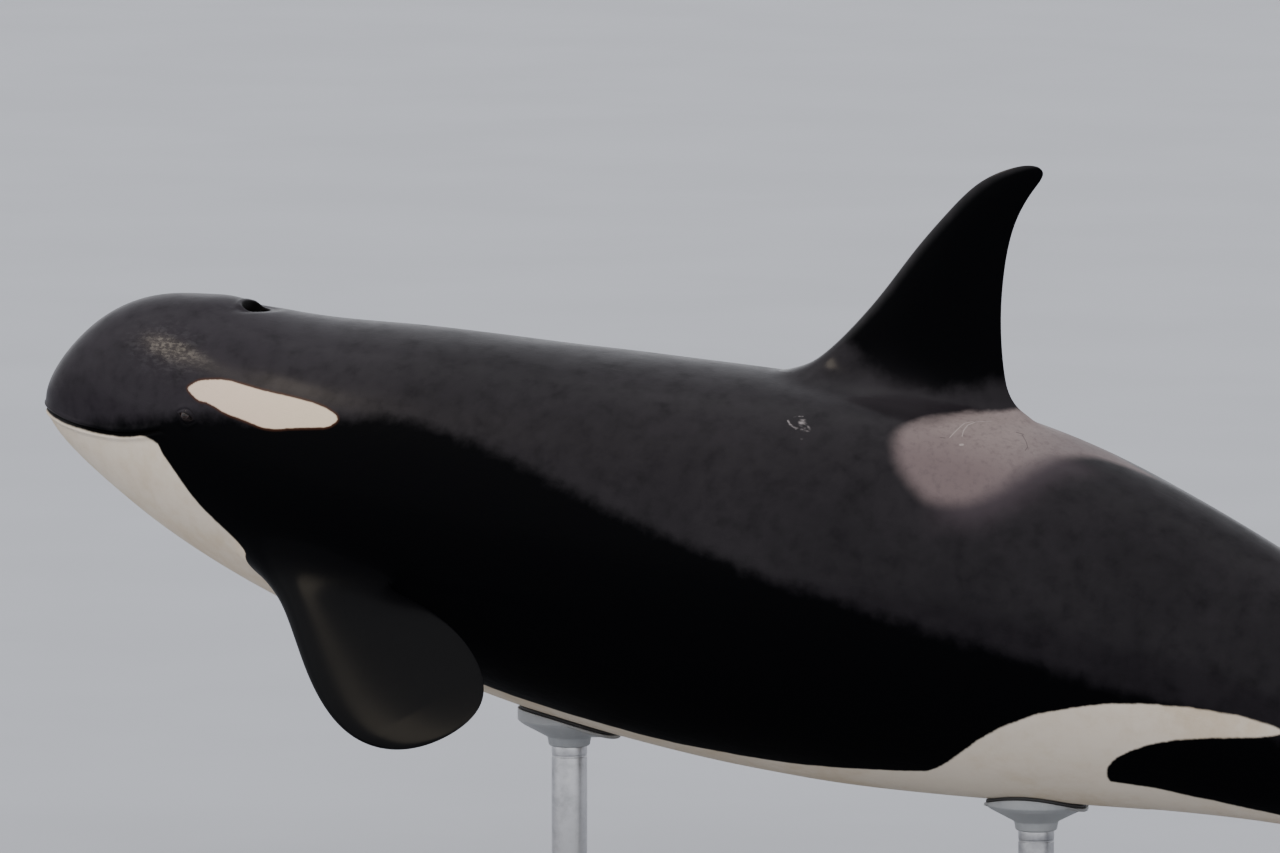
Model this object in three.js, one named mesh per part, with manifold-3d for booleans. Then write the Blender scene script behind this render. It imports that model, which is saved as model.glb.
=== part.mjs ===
// A life-size orca, held over its floor by a plain display stand.
// Millimetres, +Z up. The snout points to -X and the left side faces -Y.
// The origin is the middle of the box round the whole model, on the floor.
import * as THREE from "three";
import { mergeVertices } from "three/addons/utils/BufferGeometryUtils.js";
import Module from "manifold-3d";

const wasm = await Module();
wasm.setup();

// Driving dimensions. Shares are of the body's length, from snout to fluke notch.
const bodyLength = 6200;
const percent = bodyLength / 100;
const nosePitch = THREE.MathUtils.degToRad(10.3);
const touchGap = 0.3;
const bodySides = 42;

// The straight body's outline, as [place, value] in percent of its length.
const backLine = [
  [0, -0.9], [0.5, 1.15], [1.2, 2.4], [2.4, 3.85], [4, 5.0], [6, 5.7], [9.5, 6.0], [13, 6.1],
  [18, 6.7], [25, 7.4], [33, 8.2], [40, 8.8], [46, 9.1], [52, 8.75], [60, 7.25], [70, 5.25],
  [80, 3.7], [90, 2.25], [94, 1.6], [97, 0.9], [98.6, 0.15],
];
const bellyLine = [
  [0, -0.9], [0.8, -2.3], [2.5, -3.5], [5, -4.8], [9, -6.5], [14, -8.0], [20, -9.4], [28, -10.6],
  [36, -11.0], [45, -10.7], [55, -9.3], [65, -7.0], [75, -4.75], [85, -2.85], [92, -1.7],
  [97, -0.7], [98.6, -0.15],
];
const halfWidths = [
  [0, 0], [0.6, 1.75], [1.5, 2.6], [3, 3.5], [5, 4.5], [8, 5.75], [12, 6.9], [18, 8.15], [26, 9.15],
  [34, 9.55], [42, 9.4], [50, 8.6], [60, 6.65], [70, 4.45], [80, 2.7], [88, 1.75], [94, 1.3],
  [97, 0.8], [98.6, 0.15],
];
// How far the tail hangs below the line of the trunk, in degrees.
const trunkEnd = 0.4;
const tailBend = [
  [40, 0], [50, 0.8], [56, 3.4], [65, 8], [75, 11.5], [85, 11.5], [93, 4], [100, -2], [110, -2],
];
// Keels: 1 is a round back or belly, more is a sharper edge.
const keelLine = [
  [0, 1], [40, 1], [60, 1.1], [75, 1.35], [90, 1.45], [98.6, 1.1],
];
const widestLevel = 0.52;

// A natural cubic spline through [place, value] stations.
function splineThrough(stations) {
  const last = stations.length - 1;
  const step = (i) => stations[i + 1][0] - stations[i][0];
  const slope = (i) => (stations[i + 1][1] - stations[i][1]) / step(i);
  const bend = new Array(last + 1).fill(0);
  const carry = new Array(last + 1).fill(0);
  for (let i = 1; i < last; i += 1) {
    const pivot = 2 * (step(i - 1) + step(i)) - step(i - 1) * carry[i - 1];
    carry[i] = step(i) / pivot;
    bend[i] = (6 * (slope(i) - slope(i - 1)) - step(i - 1) * bend[i - 1]) / pivot;
  }
  for (let i = last - 1; i > 0; i -= 1) bend[i] -= carry[i] * bend[i + 1];
  return (place) => {
    let i = 0;
    while (i < last - 1 && place > stations[i + 1][0]) i += 1;
    const d = place - stations[i][0];
    const first = slope(i) - (step(i) * (2 * bend[i] + bend[i + 1])) / 6;
    const third = (bend[i + 1] - bend[i]) / (6 * step(i));
    return stations[i][1] + d * (first + d * (bend[i] / 2 + d * third));
  };
}

// A spline over the root of the place, which gives the snout its blunt round end.
function bluntSpline(stations) {
  const spline = splineThrough(stations.map(([place, value]) => [Math.sqrt(place / 100), value / 100]));
  return (s) => spline(Math.sqrt(s));
}

const backAt = bluntSpline(backLine);
const bellyAt = bluntSpline(bellyLine);
const halfWidthAt = bluntSpline(halfWidths);
const bendAt = splineThrough(tailBend);
const keelAt = splineThrough(keelLine);

function pitchAt(s) {
  return nosePitch + (s > trunkEnd ? THREE.MathUtils.degToRad(bendAt(s * 100)) : 0);
}

// The spine, stepped along its bend from the snout tip.
const spineSteps = 440;
const spineReach = 1.1;
const spine = [new THREE.Vector2(0, 0)];
for (let i = 1; i <= spineSteps; i += 1) {
  const stride = (spineReach / spineSteps) * bodyLength;
  const pitch = pitchAt(((i - 0.5) / spineSteps) * spineReach);
  const before = spine[i - 1];
  spine.push(new THREE.Vector2(before.x + stride * Math.cos(pitch), before.y - stride * Math.sin(pitch)));
}

// From the straight body (share along, share across, share up) to the posed one.
function posed(s, across, up) {
  const at = Math.max(0, (s / spineReach) * spineSteps);
  const i = Math.min(spineSteps - 1, Math.floor(at));
  const base = spine[i].clone().lerp(spine[i + 1], at - i);
  const lead = Math.min(0, s) * bodyLength;
  const pitch = pitchAt(s);
  return new THREE.Vector3(
    base.x + lead * Math.cos(pitch) + up * bodyLength * Math.sin(pitch),
    across * bodyLength,
    base.y - lead * Math.sin(pitch) + up * bodyLength * Math.cos(pitch),
  );
}

// The body's section at one place: its levels and half width, grown by some millimetres.
function sectionAt(s, grow = 0) {
  const more = grow / bodyLength;
  const top = backAt(s) + more;
  const bottom = bellyAt(s) - more;
  return {
    top,
    bottom,
    middle: bottom + (top - bottom) * widestLevel,
    halfWidth: Math.max(halfWidthAt(s), 0) + more,
    keel: keelAt(s * 100),
  };
}

// A point of the skin: turn runs from the top midline down the left side.
function skinPoint(s, turn, grow = 0) {
  const { top, bottom, middle, halfWidth, keel } = sectionAt(s, grow);
  const rise = Math.cos(turn);
  const side = Math.sin(turn);
  const up = middle + rise * (rise > 0 ? top - middle : middle - bottom);
  return posed(s, -halfWidth * Math.sign(side) * Math.abs(side) ** keel, up);
}

// A point of the left side's skin at one place and level, both in percent.
function sidePoint(place, level, grow = 0) {
  const { top, bottom, middle } = sectionAt(place / 100, grow);
  const up = level / 100;
  const reach = up > middle ? top - middle : middle - bottom;
  return skinPoint(place / 100, Math.acos(THREE.MathUtils.clamp((up - middle) / reach, -1, 1)), grow);
}

// Solids and their booleans.
function solidOf(geometry) {
  const bare = geometry.clone();
  bare.deleteAttribute("normal");
  bare.deleteAttribute("uv");
  const merged = mergeVertices(bare, 1e-3);
  const vertProperties = new Float32Array(merged.attributes.position.array);
  const triVerts = new Uint32Array(merged.index.array);
  const made = new wasm.Manifold(new wasm.Mesh({ numProp: 3, vertProperties, triVerts }));
  if (made.volume() > 0) return made;
  for (let i = 0; i < triVerts.length; i += 3) {
    [triVerts[i + 1], triVerts[i + 2]] = [triVerts[i + 2], triVerts[i + 1]];
  }
  return new wasm.Manifold(new wasm.Mesh({ numProp: 3, vertProperties, triVerts }));
}

function largestBody(solid) {
  return solid.decompose().reduce((best, body) => (body.volume() > best.volume() ? body : best));
}

function geometryOf(solid) {
  const mesh = solid.getMesh();
  const positions = new Float32Array(mesh.numVert * 3);
  for (let i = 0; i < mesh.numVert; i += 1) {
    positions.set(mesh.vertProperties.subarray(i * mesh.numProp, i * mesh.numProp + 3), i * 3);
  }
  const geometry = new THREE.BufferGeometry();
  geometry.setAttribute("position", new THREE.BufferAttribute(positions, 3));
  geometry.setIndex(new THREE.BufferAttribute(new Uint32Array(mesh.triVerts), 1));
  geometry.computeVertexNormals();
  return geometry;
}

// A closed solid through rings of points, with a fan to one point at either end.
function loft(rings, startPoint, endPoint) {
  const around = rings[0].length;
  const points = [startPoint, ...rings.flat(), endPoint];
  const corner = (ring, k) => 1 + ring * around + (k % around);
  const triangles = [];
  for (let k = 0; k < around; k += 1) {
    triangles.push(0, corner(0, k + 1), corner(0, k));
    triangles.push(points.length - 1, corner(rings.length - 1, k), corner(rings.length - 1, k + 1));
    for (let ring = 0; ring + 1 < rings.length; ring += 1) {
      const [a, b] = [corner(ring, k), corner(ring, k + 1)];
      const [c, d] = [corner(ring + 1, k), corner(ring + 1, k + 1)];
      triangles.push(a, b, d, a, d, c);
    }
  }
  const geometry = new THREE.BufferGeometry().setFromPoints(points);
  geometry.setIndex(triangles);
  return solidOf(geometry);
}

// The body is parted behind the blowhole, behind the flippers, under the fin and on the tail.
// Each part ends at a place in percent and has its own number of rows.
const headEnd = 13.6;
const chestEnd = 28;
const midbodyEnd = 50.6;
const loinEnd = 70;
const stockEnd = 98.6;
const bodyRows = [0];
for (const [end, rows] of [[headEnd, 18], [chestEnd, 8], [midbodyEnd, 9], [loinEnd, 8], [stockEnd, 14]]) {
  const startRoot = Math.sqrt(bodyRows[bodyRows.length - 1]);
  const endRoot = Math.sqrt(end);
  for (let row = 1; row <= rows; row += 1) {
    bodyRows.push((startRoot + ((endRoot - startRoot) * row) / rows) ** 2);
  }
}

// A length of the body between two places, in percent, closed by flat ends.
// All lengths share the same rows, so that their facets lie parallel.
function bodyBetween(from, to, grow = 0) {
  const apart = 0.05;
  const inside = bodyRows.filter((place) => place > from + apart && place < to - apart);
  const places = from > 0 ? [from, ...inside, to] : [...inside, to];
  const rings = places.map((place) => {
    const ring = [];
    for (let k = 0; k < bodySides; k += 1) {
      ring.push(skinPoint(place / 100, (2 * Math.PI * k) / bodySides, grow));
    }
    return ring;
  });
  const middleOf = (place) => posed(place / 100, 0, sectionAt(place / 100).middle);
  return loft(rings, middleOf(from), middleOf(to));
}

// A prism across the body, from a side-view outline of [place, level] points in percent.
function sidePrism(outline, from, to) {
  const corners = outline.map(([place, level]) => posed(place / 100, 0, level / 100));
  const shape = new THREE.Shape(corners.map((p) => new THREE.Vector2(p.x, p.z)));
  const geometry = new THREE.ExtrudeGeometry(shape, { depth: to - from, bevelEnabled: false });
  geometry.rotateX(Math.PI / 2);
  geometry.translate(0, to, 0);
  return solidOf(geometry);
}

// Moves each corner of a side-view outline outward from its middle by some millimetres.
function widened(outline, margin) {
  const centre = outline.reduce((sum, p) => [sum[0] + p[0] / outline.length, sum[1] + p[1] / outline.length], [0, 0]);
  return outline.map((p, i) => {
    const before = outline[(i + outline.length - 1) % outline.length];
    const after = outline[(i + 1) % outline.length];
    const along = new THREE.Vector2(after[0] - before[0], after[1] - before[1]).normalize();
    const out = new THREE.Vector2(along.y, -along.x);
    const facing = out.x * (p[0] - centre[0]) + out.y * (p[1] - centre[1]) >= 0 ? 1 : -1;
    return [p[0] + (facing * out.x * margin) / percent, p[1] + (facing * out.y * margin) / percent];
  });
}

// A round bar through a list of points, tapering to its two ends.
function roundBar(path, radius, sides = 8) {
  const curve = new THREE.CatmullRomCurve3(path);
  const steps = path.length * 2;
  const rings = [];
  for (let i = 0; i <= steps; i += 1) {
    const at = i / steps;
    const ahead = curve.getTangent(at);
    const side = new THREE.Vector3(0, 0, 1).cross(ahead).normalize();
    const up = ahead.clone().cross(side);
    const size = radius * Math.max(Math.sin(Math.PI * at), 0.001) ** 0.25;
    const centre = curve.getPoint(at);
    const ring = [];
    for (let k = 0; k < sides; k += 1) {
      const turn = (2 * Math.PI * k) / sides;
      ring.push(
        centre.clone().addScaledVector(side, size * Math.cos(turn)).addScaledVector(up, size * Math.sin(turn)),
      );
    }
    rings.push(ring);
  }
  return loft(rings, curve.getPoint(0), curve.getPoint(1));
}

// A fin: front and rear edge as splines of place along the body over height, both in percent.
// Rows close up towards the root and the rounded tip, and the root spreads into the body.
const finFullest = 1.175;
const finTaper = 0.7;
function finSolid({ span, front, rear, rootThickness, tipThickness, spread, sunk, rows, sides, place }) {
  const frontAt = splineThrough(front.map(([height, x]) => [Math.sqrt(Math.max(0, 1 - height / span)), x]));
  const rearAt = splineThrough(rear.map(([height, x]) => [Math.sqrt(Math.max(0, 1 - height / span)), x]));
  const ringAt = (height, depth) => {
    const root = Math.sqrt(Math.max(0, 1 - height / span));
    const flare = Math.exp(-height / spread.height);
    const frontEdge = frontAt(root) - spread.front * flare;
    const rearEdge = rearAt(root) + spread.rear * flare;
    const swell = tipThickness + (rootThickness - tipThickness) * (1 - height / span) ** 0.9;
    const thickness = swell * Math.min(1, root * 2.5) + spread.side * flare;
    const ring = [];
    for (let k = 0; k < sides; k += 1) {
      const turn = (2 * Math.PI * (k + 0.5)) / sides;
      const along = frontEdge + ((rearEdge - frontEdge) * (1 + Math.cos(turn))) / 2;
      const out = ((thickness / 2) * Math.sin(turn) * (1 - finTaper * Math.cos(turn))) / finFullest;
      ring.push(place(along, out, height - depth));
    }
    return ring;
  };
  const rings = [ringAt(0, sunk)];
  for (let row = rows; row > 0; row -= 1) {
    rings.push(ringAt((span * (1 + Math.cos((Math.PI * row) / rows))) / 2, 0));
  }
  const rootMiddle = (frontAt(1) + rearAt(1)) / 2;
  return loft(rings, place(rootMiddle, 0, -sunk), place((frontAt(0) + rearAt(0)) / 2, 0, span));
}

const skinBlack = "#1b1a1e";
const skinWhite = "#c4b9af";
const skinGrey = "#8a7d7e";
const standSteel = "#5d6166";
const group = new THREE.Group();

function addMesh(name, solid, color, roughness = 0.35, metalness = 0) {
  const material = new THREE.MeshStandardMaterial({ color, roughness, metalness });
  const mesh = new THREE.Mesh(geometryOf(largestBody(solid)), material);
  mesh.name = name;
  group.add(mesh);
  return mesh;
}

const partGap = touchGap / percent;
let head = bodyBetween(0, headEnd);
let chest = bodyBetween(headEnd + partGap, chestEnd);
let midbody = bodyBetween(chestEnd + partGap, midbodyEnd);
let loin = bodyBetween(midbodyEnd + partGap, loinEnd);
const tailStock = bodyBetween(loinEnd + partGap, stockEnd);
const wholeBody = bodyBetween(0, stockEnd);
const clearOfBody = bodyBetween(0, stockEnd, touchGap);

// The mouth: its line from the snout to the corner of the gape, and the jaw below it.
const mouthLine = [
  [-3, -1.2], [0.4, -1.35], [2, -1.5], [4, -1.4], [6, -1.05], [7.4, -0.6], [8.2, -0.3],
];
const jawHinge = [[9.4, -1.6], [10.8, -4.5], [11.4, -12], [-3, -12]];
const jawOutline = [...mouthLine, ...jawHinge];
const wayAcross = 1500;
const jawSpace = sidePrism(widened(jawOutline, touchGap), -wayAcross, wayAcross);
let lowerJaw = head.intersect(sidePrism(jawOutline, -wayAcross, wayAcross));
head = head.subtract(jawSpace);

// Lips: a soft roll above and below the mouth line, round the whole snout.
const lipRadius = 15;
const lipSink = 9;
const lipOffset = 14 / percent;
function lipRoll(side) {
  const left = [];
  for (let place = 7.6; place > 0.9; place -= 0.9) {
    const level = splineThrough(mouthLine)(place) + side * lipOffset;
    left.push(sidePoint(place, level, -lipSink));
  }
  const right = left.map((p) => new THREE.Vector3(p.x, -p.y, p.z)).reverse();
  const front = sidePoint(0.42, splineThrough(mouthLine)(0.42) + side * lipOffset, -lipSink);
  front.y = 0;
  front.x -= 0.18 * percent;
  return roundBar([...left, front, ...right], lipRadius);
}
head = head.add(lipRoll(1)).subtract(jawSpace);
lowerJaw = lowerJaw.add(lipRoll(-1)).subtract(sidePrism(
  widened([...mouthLine, [8.2, 6], [-3, 6]], touchGap), -wayAcross, wayAcross));

// The blowhole: a crescent that stands open on the midline, with a raised rim.
const blowholePlace = 10.15;
const blowholeHalfWidth = 58;
const blowholeHalfLength = 28;
const blowholeBow = 20;
const blowholeDepth = 52;
const crownRadius = 380;
function blowholeRing(grow, level, lean, tilt = 0) {
  const ring = [];
  const sides = 20;
  for (let k = 0; k < sides; k += 1) {
    const turn = (2 * Math.PI * k) / sides;
    const across = (blowholeHalfWidth + grow) * Math.sin(turn);
    const bow = blowholeBow * (1 - Math.sin(turn) ** 2);
    const along = (blowholeHalfLength + grow) * Math.cos(turn) + bow + lean;
    const s = (blowholePlace + along / percent) / 100;
    const rise = level + tilt * Math.cos(turn) - across ** 2 / (2 * crownRadius);
    ring.push(posed(s, across / bodyLength, sectionAt(s).top + rise / bodyLength));
  }
  return ring;
}
function blowholePlug(levels) {
  const rings = levels.map((level) => blowholeRing(...level));
  const middleOf = (ring) => ring.reduce((sum, p) => sum.add(p), new THREE.Vector3()).divideScalar(ring.length);
  return loft(rings, middleOf(rings[0]), middleOf(rings[rings.length - 1]));
}
const blowholeRim = blowholePlug([[42, -30, 10], [34, -3, 10], [18, 7, 5, 4], [5, 9, 0, 4]]);
const blowholeHole = blowholePlug([[-20, -blowholeDepth, 14], [-5, -22, 6], [0, 3, 0, 3], [8, 40, 0]]);
head = head.add(blowholeRim).subtract(blowholeHole);

// Eyes: a ball in a socket on each side, with an upper and a lower lid.
const eyePlace = 9.6;
const eyeLevel = 0.8;
const eyeRadius = 24;
const eyeSink = 18;
const lidRadius = 8;
const lidHalfLength = 27;
const lidHalfHeight = 13;
function ballAt(centre, radius) {
  const ball = new THREE.SphereGeometry(radius, 16, 12);
  ball.translate(centre.x, centre.y, centre.z);
  return solidOf(ball);
}
function mirrored(solid) {
  return solid.mirror([0, 1, 0]);
}
const eyeCentre = sidePoint(eyePlace, eyeLevel, -eyeSink);
const eyeBall = ballAt(eyeCentre, eyeRadius);
function lidRoll(side) {
  const path = [];
  for (let k = 0; k <= 6; k += 1) {
    const at = k / 3 - 1;
    const arch = 1 - at * at;
    const place = eyePlace + (at * lidHalfLength) / percent;
    const level = eyeLevel + (side * lidHalfHeight * arch - 3 * at) / percent;
    path.push(sidePoint(place, level, -5 + 7 * arch));
  }
  return roundBar(path, lidRadius, 6);
}
const socket = ballAt(eyeCentre, eyeRadius + 2 * touchGap);
const lids = lidRoll(1).add(lidRoll(-1));
head = head.add(lids).add(mirrored(lids)).subtract(socket).subtract(mirrored(socket));

// Patches: a skin-deep piece of the body inside a side-view outline, on both sides or one.
const patchDepth = 40;
const eyePatchOutline = [
  [9.3, 1.95], [9.75, 2.4], [10.6, 2.68], [12, 2.8], [14, 2.84], [16, 2.84], [17.2, 2.72], [17.8, 2.42],
  [17.5, 2.05], [16.5, 1.72], [15, 1.32], [13.6, 1.15], [12, 1.28], [10.6, 1.52], [9.7, 1.68],
];
const saddleOutline = [
  [45.3, 7.2], [45.7, 8.0], [46.6, 8.65], [47.6, 9.2], [47.6, 12], [56.4, 12], [56.4, 7.9], [54.5, 7.75],
  [52.6, 7.5], [51.6, 7.1], [50.6, 6.3], [49.4, 5.9], [48, 5.7], [46.8, 5.85], [45.8, 6.4],
];
const eyePatchInside = [5, 22];
const saddleInside = [38, 64];
function patchOf(outline, from, to, inside) {
  const prism = sidePrism(outline, from, to);
  return wholeBody.intersect(prism).subtract(bodyBetween(...inside, -patchDepth));
}
function patchSpace(outline, from, to, inside) {
  const prism = sidePrism(widened(outline, touchGap), from, to);
  return prism.subtract(bodyBetween(...inside, -patchDepth - touchGap));
}
const besideMiddle = -200;
const eyePatch = patchOf(eyePatchOutline, -wayAcross, besideMiddle, eyePatchInside);
const eyePatchSpace = patchSpace(eyePatchOutline, -wayAcross, besideMiddle, eyePatchInside);
for (const space of [eyePatchSpace, mirrored(eyePatchSpace)]) {
  head = head.subtract(space);
  chest = chest.subtract(space);
}
const saddle = patchOf(saddleOutline, -wayAcross, wayAcross, saddleInside);
const saddleSpace = patchSpace(saddleOutline, -wayAcross, wayAcross, saddleInside);
midbody = midbody.subtract(saddleSpace);
loin = loin.subtract(saddleSpace);

// The back fin stands on the line of the back, in the frame of the trunk.
const finBaseLevel = 8.8;
const backFin = finSolid({
  span: 12.6 * percent,
  front: [[12.6, 48.6], [12.3, 47.6], [11.2, 46.08], [9.3, 44.7], [7, 43.35], [4.3, 41.92], [2.3, 40.68], [0, 39.2]]
    .map(([height, place]) => [height * percent, place * percent]),
  rear: [[12.6, 48.6], [12.3, 49.02], [11.2, 48.62], [9.3, 48.1], [7, 48.06], [4.3, 48.41], [2.3, 48.88], [0, 49.45]]
    .map(([height, place]) => [height * percent, place * percent]),
  rootThickness: 105,
  tipThickness: 20,
  spread: { height: 46, front: 62, rear: 90, side: 130 },
  sunk: 90,
  rows: 15,
  sides: 20,
  place: (along, out, height) => posed(along / bodyLength, out / bodyLength, (finBaseLevel + height / percent) / 100),
}).subtract(clearOfBody);

// Flippers: paddles that stand out low behind the head, turned down and back.
const flipperPlace = 18.2;
const flipperLevel = -5.2;
const flipperDrop = THREE.MathUtils.degToRad(36);
const flipperSweep = THREE.MathUtils.degToRad(40);
const flipperTwist = THREE.MathUtils.degToRad(12);
const flipperSpan = 930;
const flipperRoot = sidePoint(flipperPlace, flipperLevel);
const flipperOut = new THREE.Vector3(
  Math.sin(flipperSweep),
  -Math.cos(flipperSweep) * Math.cos(flipperDrop),
  -Math.cos(flipperSweep) * Math.sin(flipperDrop),
);
const flipperBack = new THREE.Vector3(
  Math.cos(flipperSweep),
  Math.sin(flipperSweep) * Math.cos(flipperDrop),
  Math.sin(flipperSweep) * Math.sin(flipperDrop),
).applyAxisAngle(flipperOut, flipperTwist);
const flipperFace = flipperBack.clone().cross(flipperOut);
// The rows near the root lean with the side of the chest and turn square to the blade further out.
function flipperPoint(along, out, height) {
  const settle = Math.tan(flipperSweep) * (1 - Math.max(0, height) / flipperSpan) ** 3;
  return flipperRoot.clone()
    .addScaledVector(flipperBack, along)
    .addScaledVector(flipperFace, out)
    .addScaledVector(flipperOut, height + along * settle);
}
const leftFlipper = finSolid({
  span: flipperSpan,
  front: [[930, 60], [910, -40], [800, -165], [600, -225], [380, -210], [180, -165], [0, -125]],
  rear: [[930, 60], [910, 140], [800, 215], [600, 235], [380, 205], [180, 160], [0, 140]],
  rootThickness: 110,
  tipThickness: 22,
  spread: { height: 55, front: 55, rear: 75, side: 60 },
  sunk: 130,
  rows: 14,
  sides: 18,
  place: flipperPoint,
}).subtract(clearOfBody);

// Flukes: two level blades that meet at the notch, in the frame of the tail's end.
const flukeFrame = 0.955;
const flukePitch = pitchAt(flukeFrame);
const flukeCentre = posed(flukeFrame, 0, 0);
const flukeDroop = 30;
const halfSpan = 13.3 * percent;
const flukeAll = finSolid({
  span: halfSpan,
  front: [[13.3, 101.9], [13, 100.9], [11.8, 99.3], [9.4, 97.1], [6.4, 94.9], [3.6, 92.9], [1.6, 91.2], [0, 90.2]]
    .map(([height, place]) => [height * percent, place * percent]),
  rear: [[13.3, 101.9], [13, 102.1], [11.8, 101.6], [9.4, 101.1], [6.4, 101.2], [3.6, 101.6], [1.2, 101.3], [0, 99.9]]
    .map(([height, place]) => [height * percent, place * percent]),
  rootThickness: 92,
  tipThickness: 16,
  spread: { height: 60, front: 0, rear: 0, side: 40 },
  sunk: 30,
  rows: 15,
  sides: 18,
  place: (along, out, height) => {
    const reach = along - flukeFrame * bodyLength;
    const rise = out - flukeDroop * (height / halfSpan) ** 2;
    return new THREE.Vector3(
      flukeCentre.x + reach * Math.cos(flukePitch) + rise * Math.sin(flukePitch),
      -height,
      flukeCentre.z - reach * Math.sin(flukePitch) + rise * Math.cos(flukePitch),
    );
  },
});
const midPlane = sidePrism([[80, -20], [115, -20], [115, 20], [80, 20]], -touchGap / 2, wayAcross);
const leftFluke = flukeAll.subtract(midPlane).subtract(clearOfBody);

addMesh("head", head, skinBlack);
addMesh("lower_jaw", lowerJaw, skinWhite);
addMesh("eye_left", eyeBall, "#120d0b", 0.1);
addMesh("eye_right", mirrored(eyeBall), "#120d0b", 0.1);
addMesh("eye_patch_left", eyePatch, skinWhite);
addMesh("eye_patch_right", mirrored(eyePatch), skinWhite);
addMesh("chest", chest, skinBlack);
addMesh("midbody", midbody, skinBlack);
addMesh("loin", loin, skinBlack);
addMesh("saddle_patch", saddle, skinGrey);
addMesh("tail_stock", tailStock, skinBlack);
addMesh("fluke_left", leftFluke, skinBlack);
addMesh("fluke_right", mirrored(leftFluke), skinBlack);
addMesh("dorsal_fin", backFin, skinBlack);
addMesh("flipper_left", leftFlipper, skinBlack);
addMesh("flipper_right", mirrored(leftFlipper), skinBlack);

// The stand: a flat steel base with two rods, each in a collar below and a cradle above.
const tailClearance = 110;
const baseThickness = 30;
const baseLength = 2600;
const baseWidth = 1200;
const baseCorner = 90;
const rodRadius = 55;
const rodPlaces = { front: 30, rear: 55 };
const floorLevel = leftFluke.boundingBox().min[2] - tailClearance;
const deckLevel = floorLevel + baseThickness;
const rodAt = (place) => posed(place / 100, 0, bellyAt(place / 100));
const baseMiddle = (rodAt(rodPlaces.front).x + rodAt(rodPlaces.rear).x) / 2;

function roundedPlate(length, width, corner, thickness, chamfer) {
  const shape = new THREE.Shape();
  const [x, y] = [length / 2 - corner - chamfer, width / 2 - corner - chamfer];
  shape.absarc(x, y, corner, 0, Math.PI / 2);
  shape.absarc(-x, y, corner, Math.PI / 2, Math.PI);
  shape.absarc(-x, -y, corner, Math.PI, 1.5 * Math.PI);
  shape.absarc(x, -y, corner, 1.5 * Math.PI, 2 * Math.PI);
  const geometry = new THREE.ExtrudeGeometry(shape, {
    depth: thickness - 2 * chamfer,
    bevelThickness: chamfer,
    bevelSize: chamfer,
    bevelSegments: 1,
    curveSegments: 6,
  });
  geometry.translate(0, 0, chamfer);
  return geometry;
}
const base = roundedPlate(baseLength, baseWidth, baseCorner, baseThickness, 4);
base.translate(baseMiddle, 0, floorLevel);
addMesh("stand_base", solidOf(base), standSteel, 0.45, 0.6);

function turned(profile, sides) {
  const lathe = new THREE.LatheGeometry(profile.map(([r, z]) => new THREE.Vector2(r, z)), sides);
  lathe.rotateX(Math.PI / 2);
  return solidOf(lathe);
}

const cradleDrop = 90;
const collarHeight = 60;
for (const [end, place] of Object.entries(rodPlaces)) {
  const foot = rodAt(place);
  const cradleFoot = foot.z - cradleDrop;
  const rod = turned([[0, deckLevel + touchGap], [rodRadius, deckLevel + touchGap],
    [rodRadius, cradleFoot - touchGap], [0, cradleFoot - touchGap]], 24);
  const collar = turned([[rodRadius + touchGap, deckLevel + touchGap], [170, deckLevel + touchGap],
    [170, deckLevel + 20], [90, deckLevel + 28], [78, deckLevel + collarHeight],
    [rodRadius + touchGap, deckLevel + collarHeight], [rodRadius + touchGap, deckLevel + touchGap]], 24);
  const cradle = turned([[0, cradleFoot], [rodRadius + 8, cradleFoot], [rodRadius + 14, cradleFoot + 30],
    [150, cradleFoot + 74], [160, cradleFoot + 84], [160, foot.z + 90], [0, foot.z + 90]], 28);
  const bolts = [];
  for (let k = 0; k < 6; k += 1) {
    const turn = (Math.PI * (k + 0.5)) / 3;
    const bolt = new THREE.CylinderGeometry(13, 13, 24, 6);
    bolt.rotateX(Math.PI / 2);
    bolt.translate(134 * Math.cos(turn), 134 * Math.sin(turn), deckLevel + 22);
    bolts.push(solidOf(bolt));
  }
  const boltedCollar = bolts.reduce((sum, bolt) => sum.add(bolt), collar);
  addMesh(`stand_rod_${end}`, rod.translate([foot.x, 0, 0]), standSteel, 0.35, 0.8);
  addMesh(`stand_collar_${end}`, boltedCollar.translate([foot.x, 0, 0]), standSteel, 0.45, 0.6);
  addMesh(`stand_cradle_${end}`, cradle.translate([foot.x, 0, 0]).subtract(clearOfBody), standSteel, 0.6, 0.1);
}

const box = new THREE.Box3().setFromObject(group);
group.position.set(-(box.min.x + box.max.x) / 2, -(box.min.y + box.max.y) / 2, -box.min.z);

export default group;
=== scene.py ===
import bpy
import math
import numpy as np
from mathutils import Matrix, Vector
from mathutils.bvhtree import BVHTree
from mathutils.kdtree import KDTree


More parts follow.
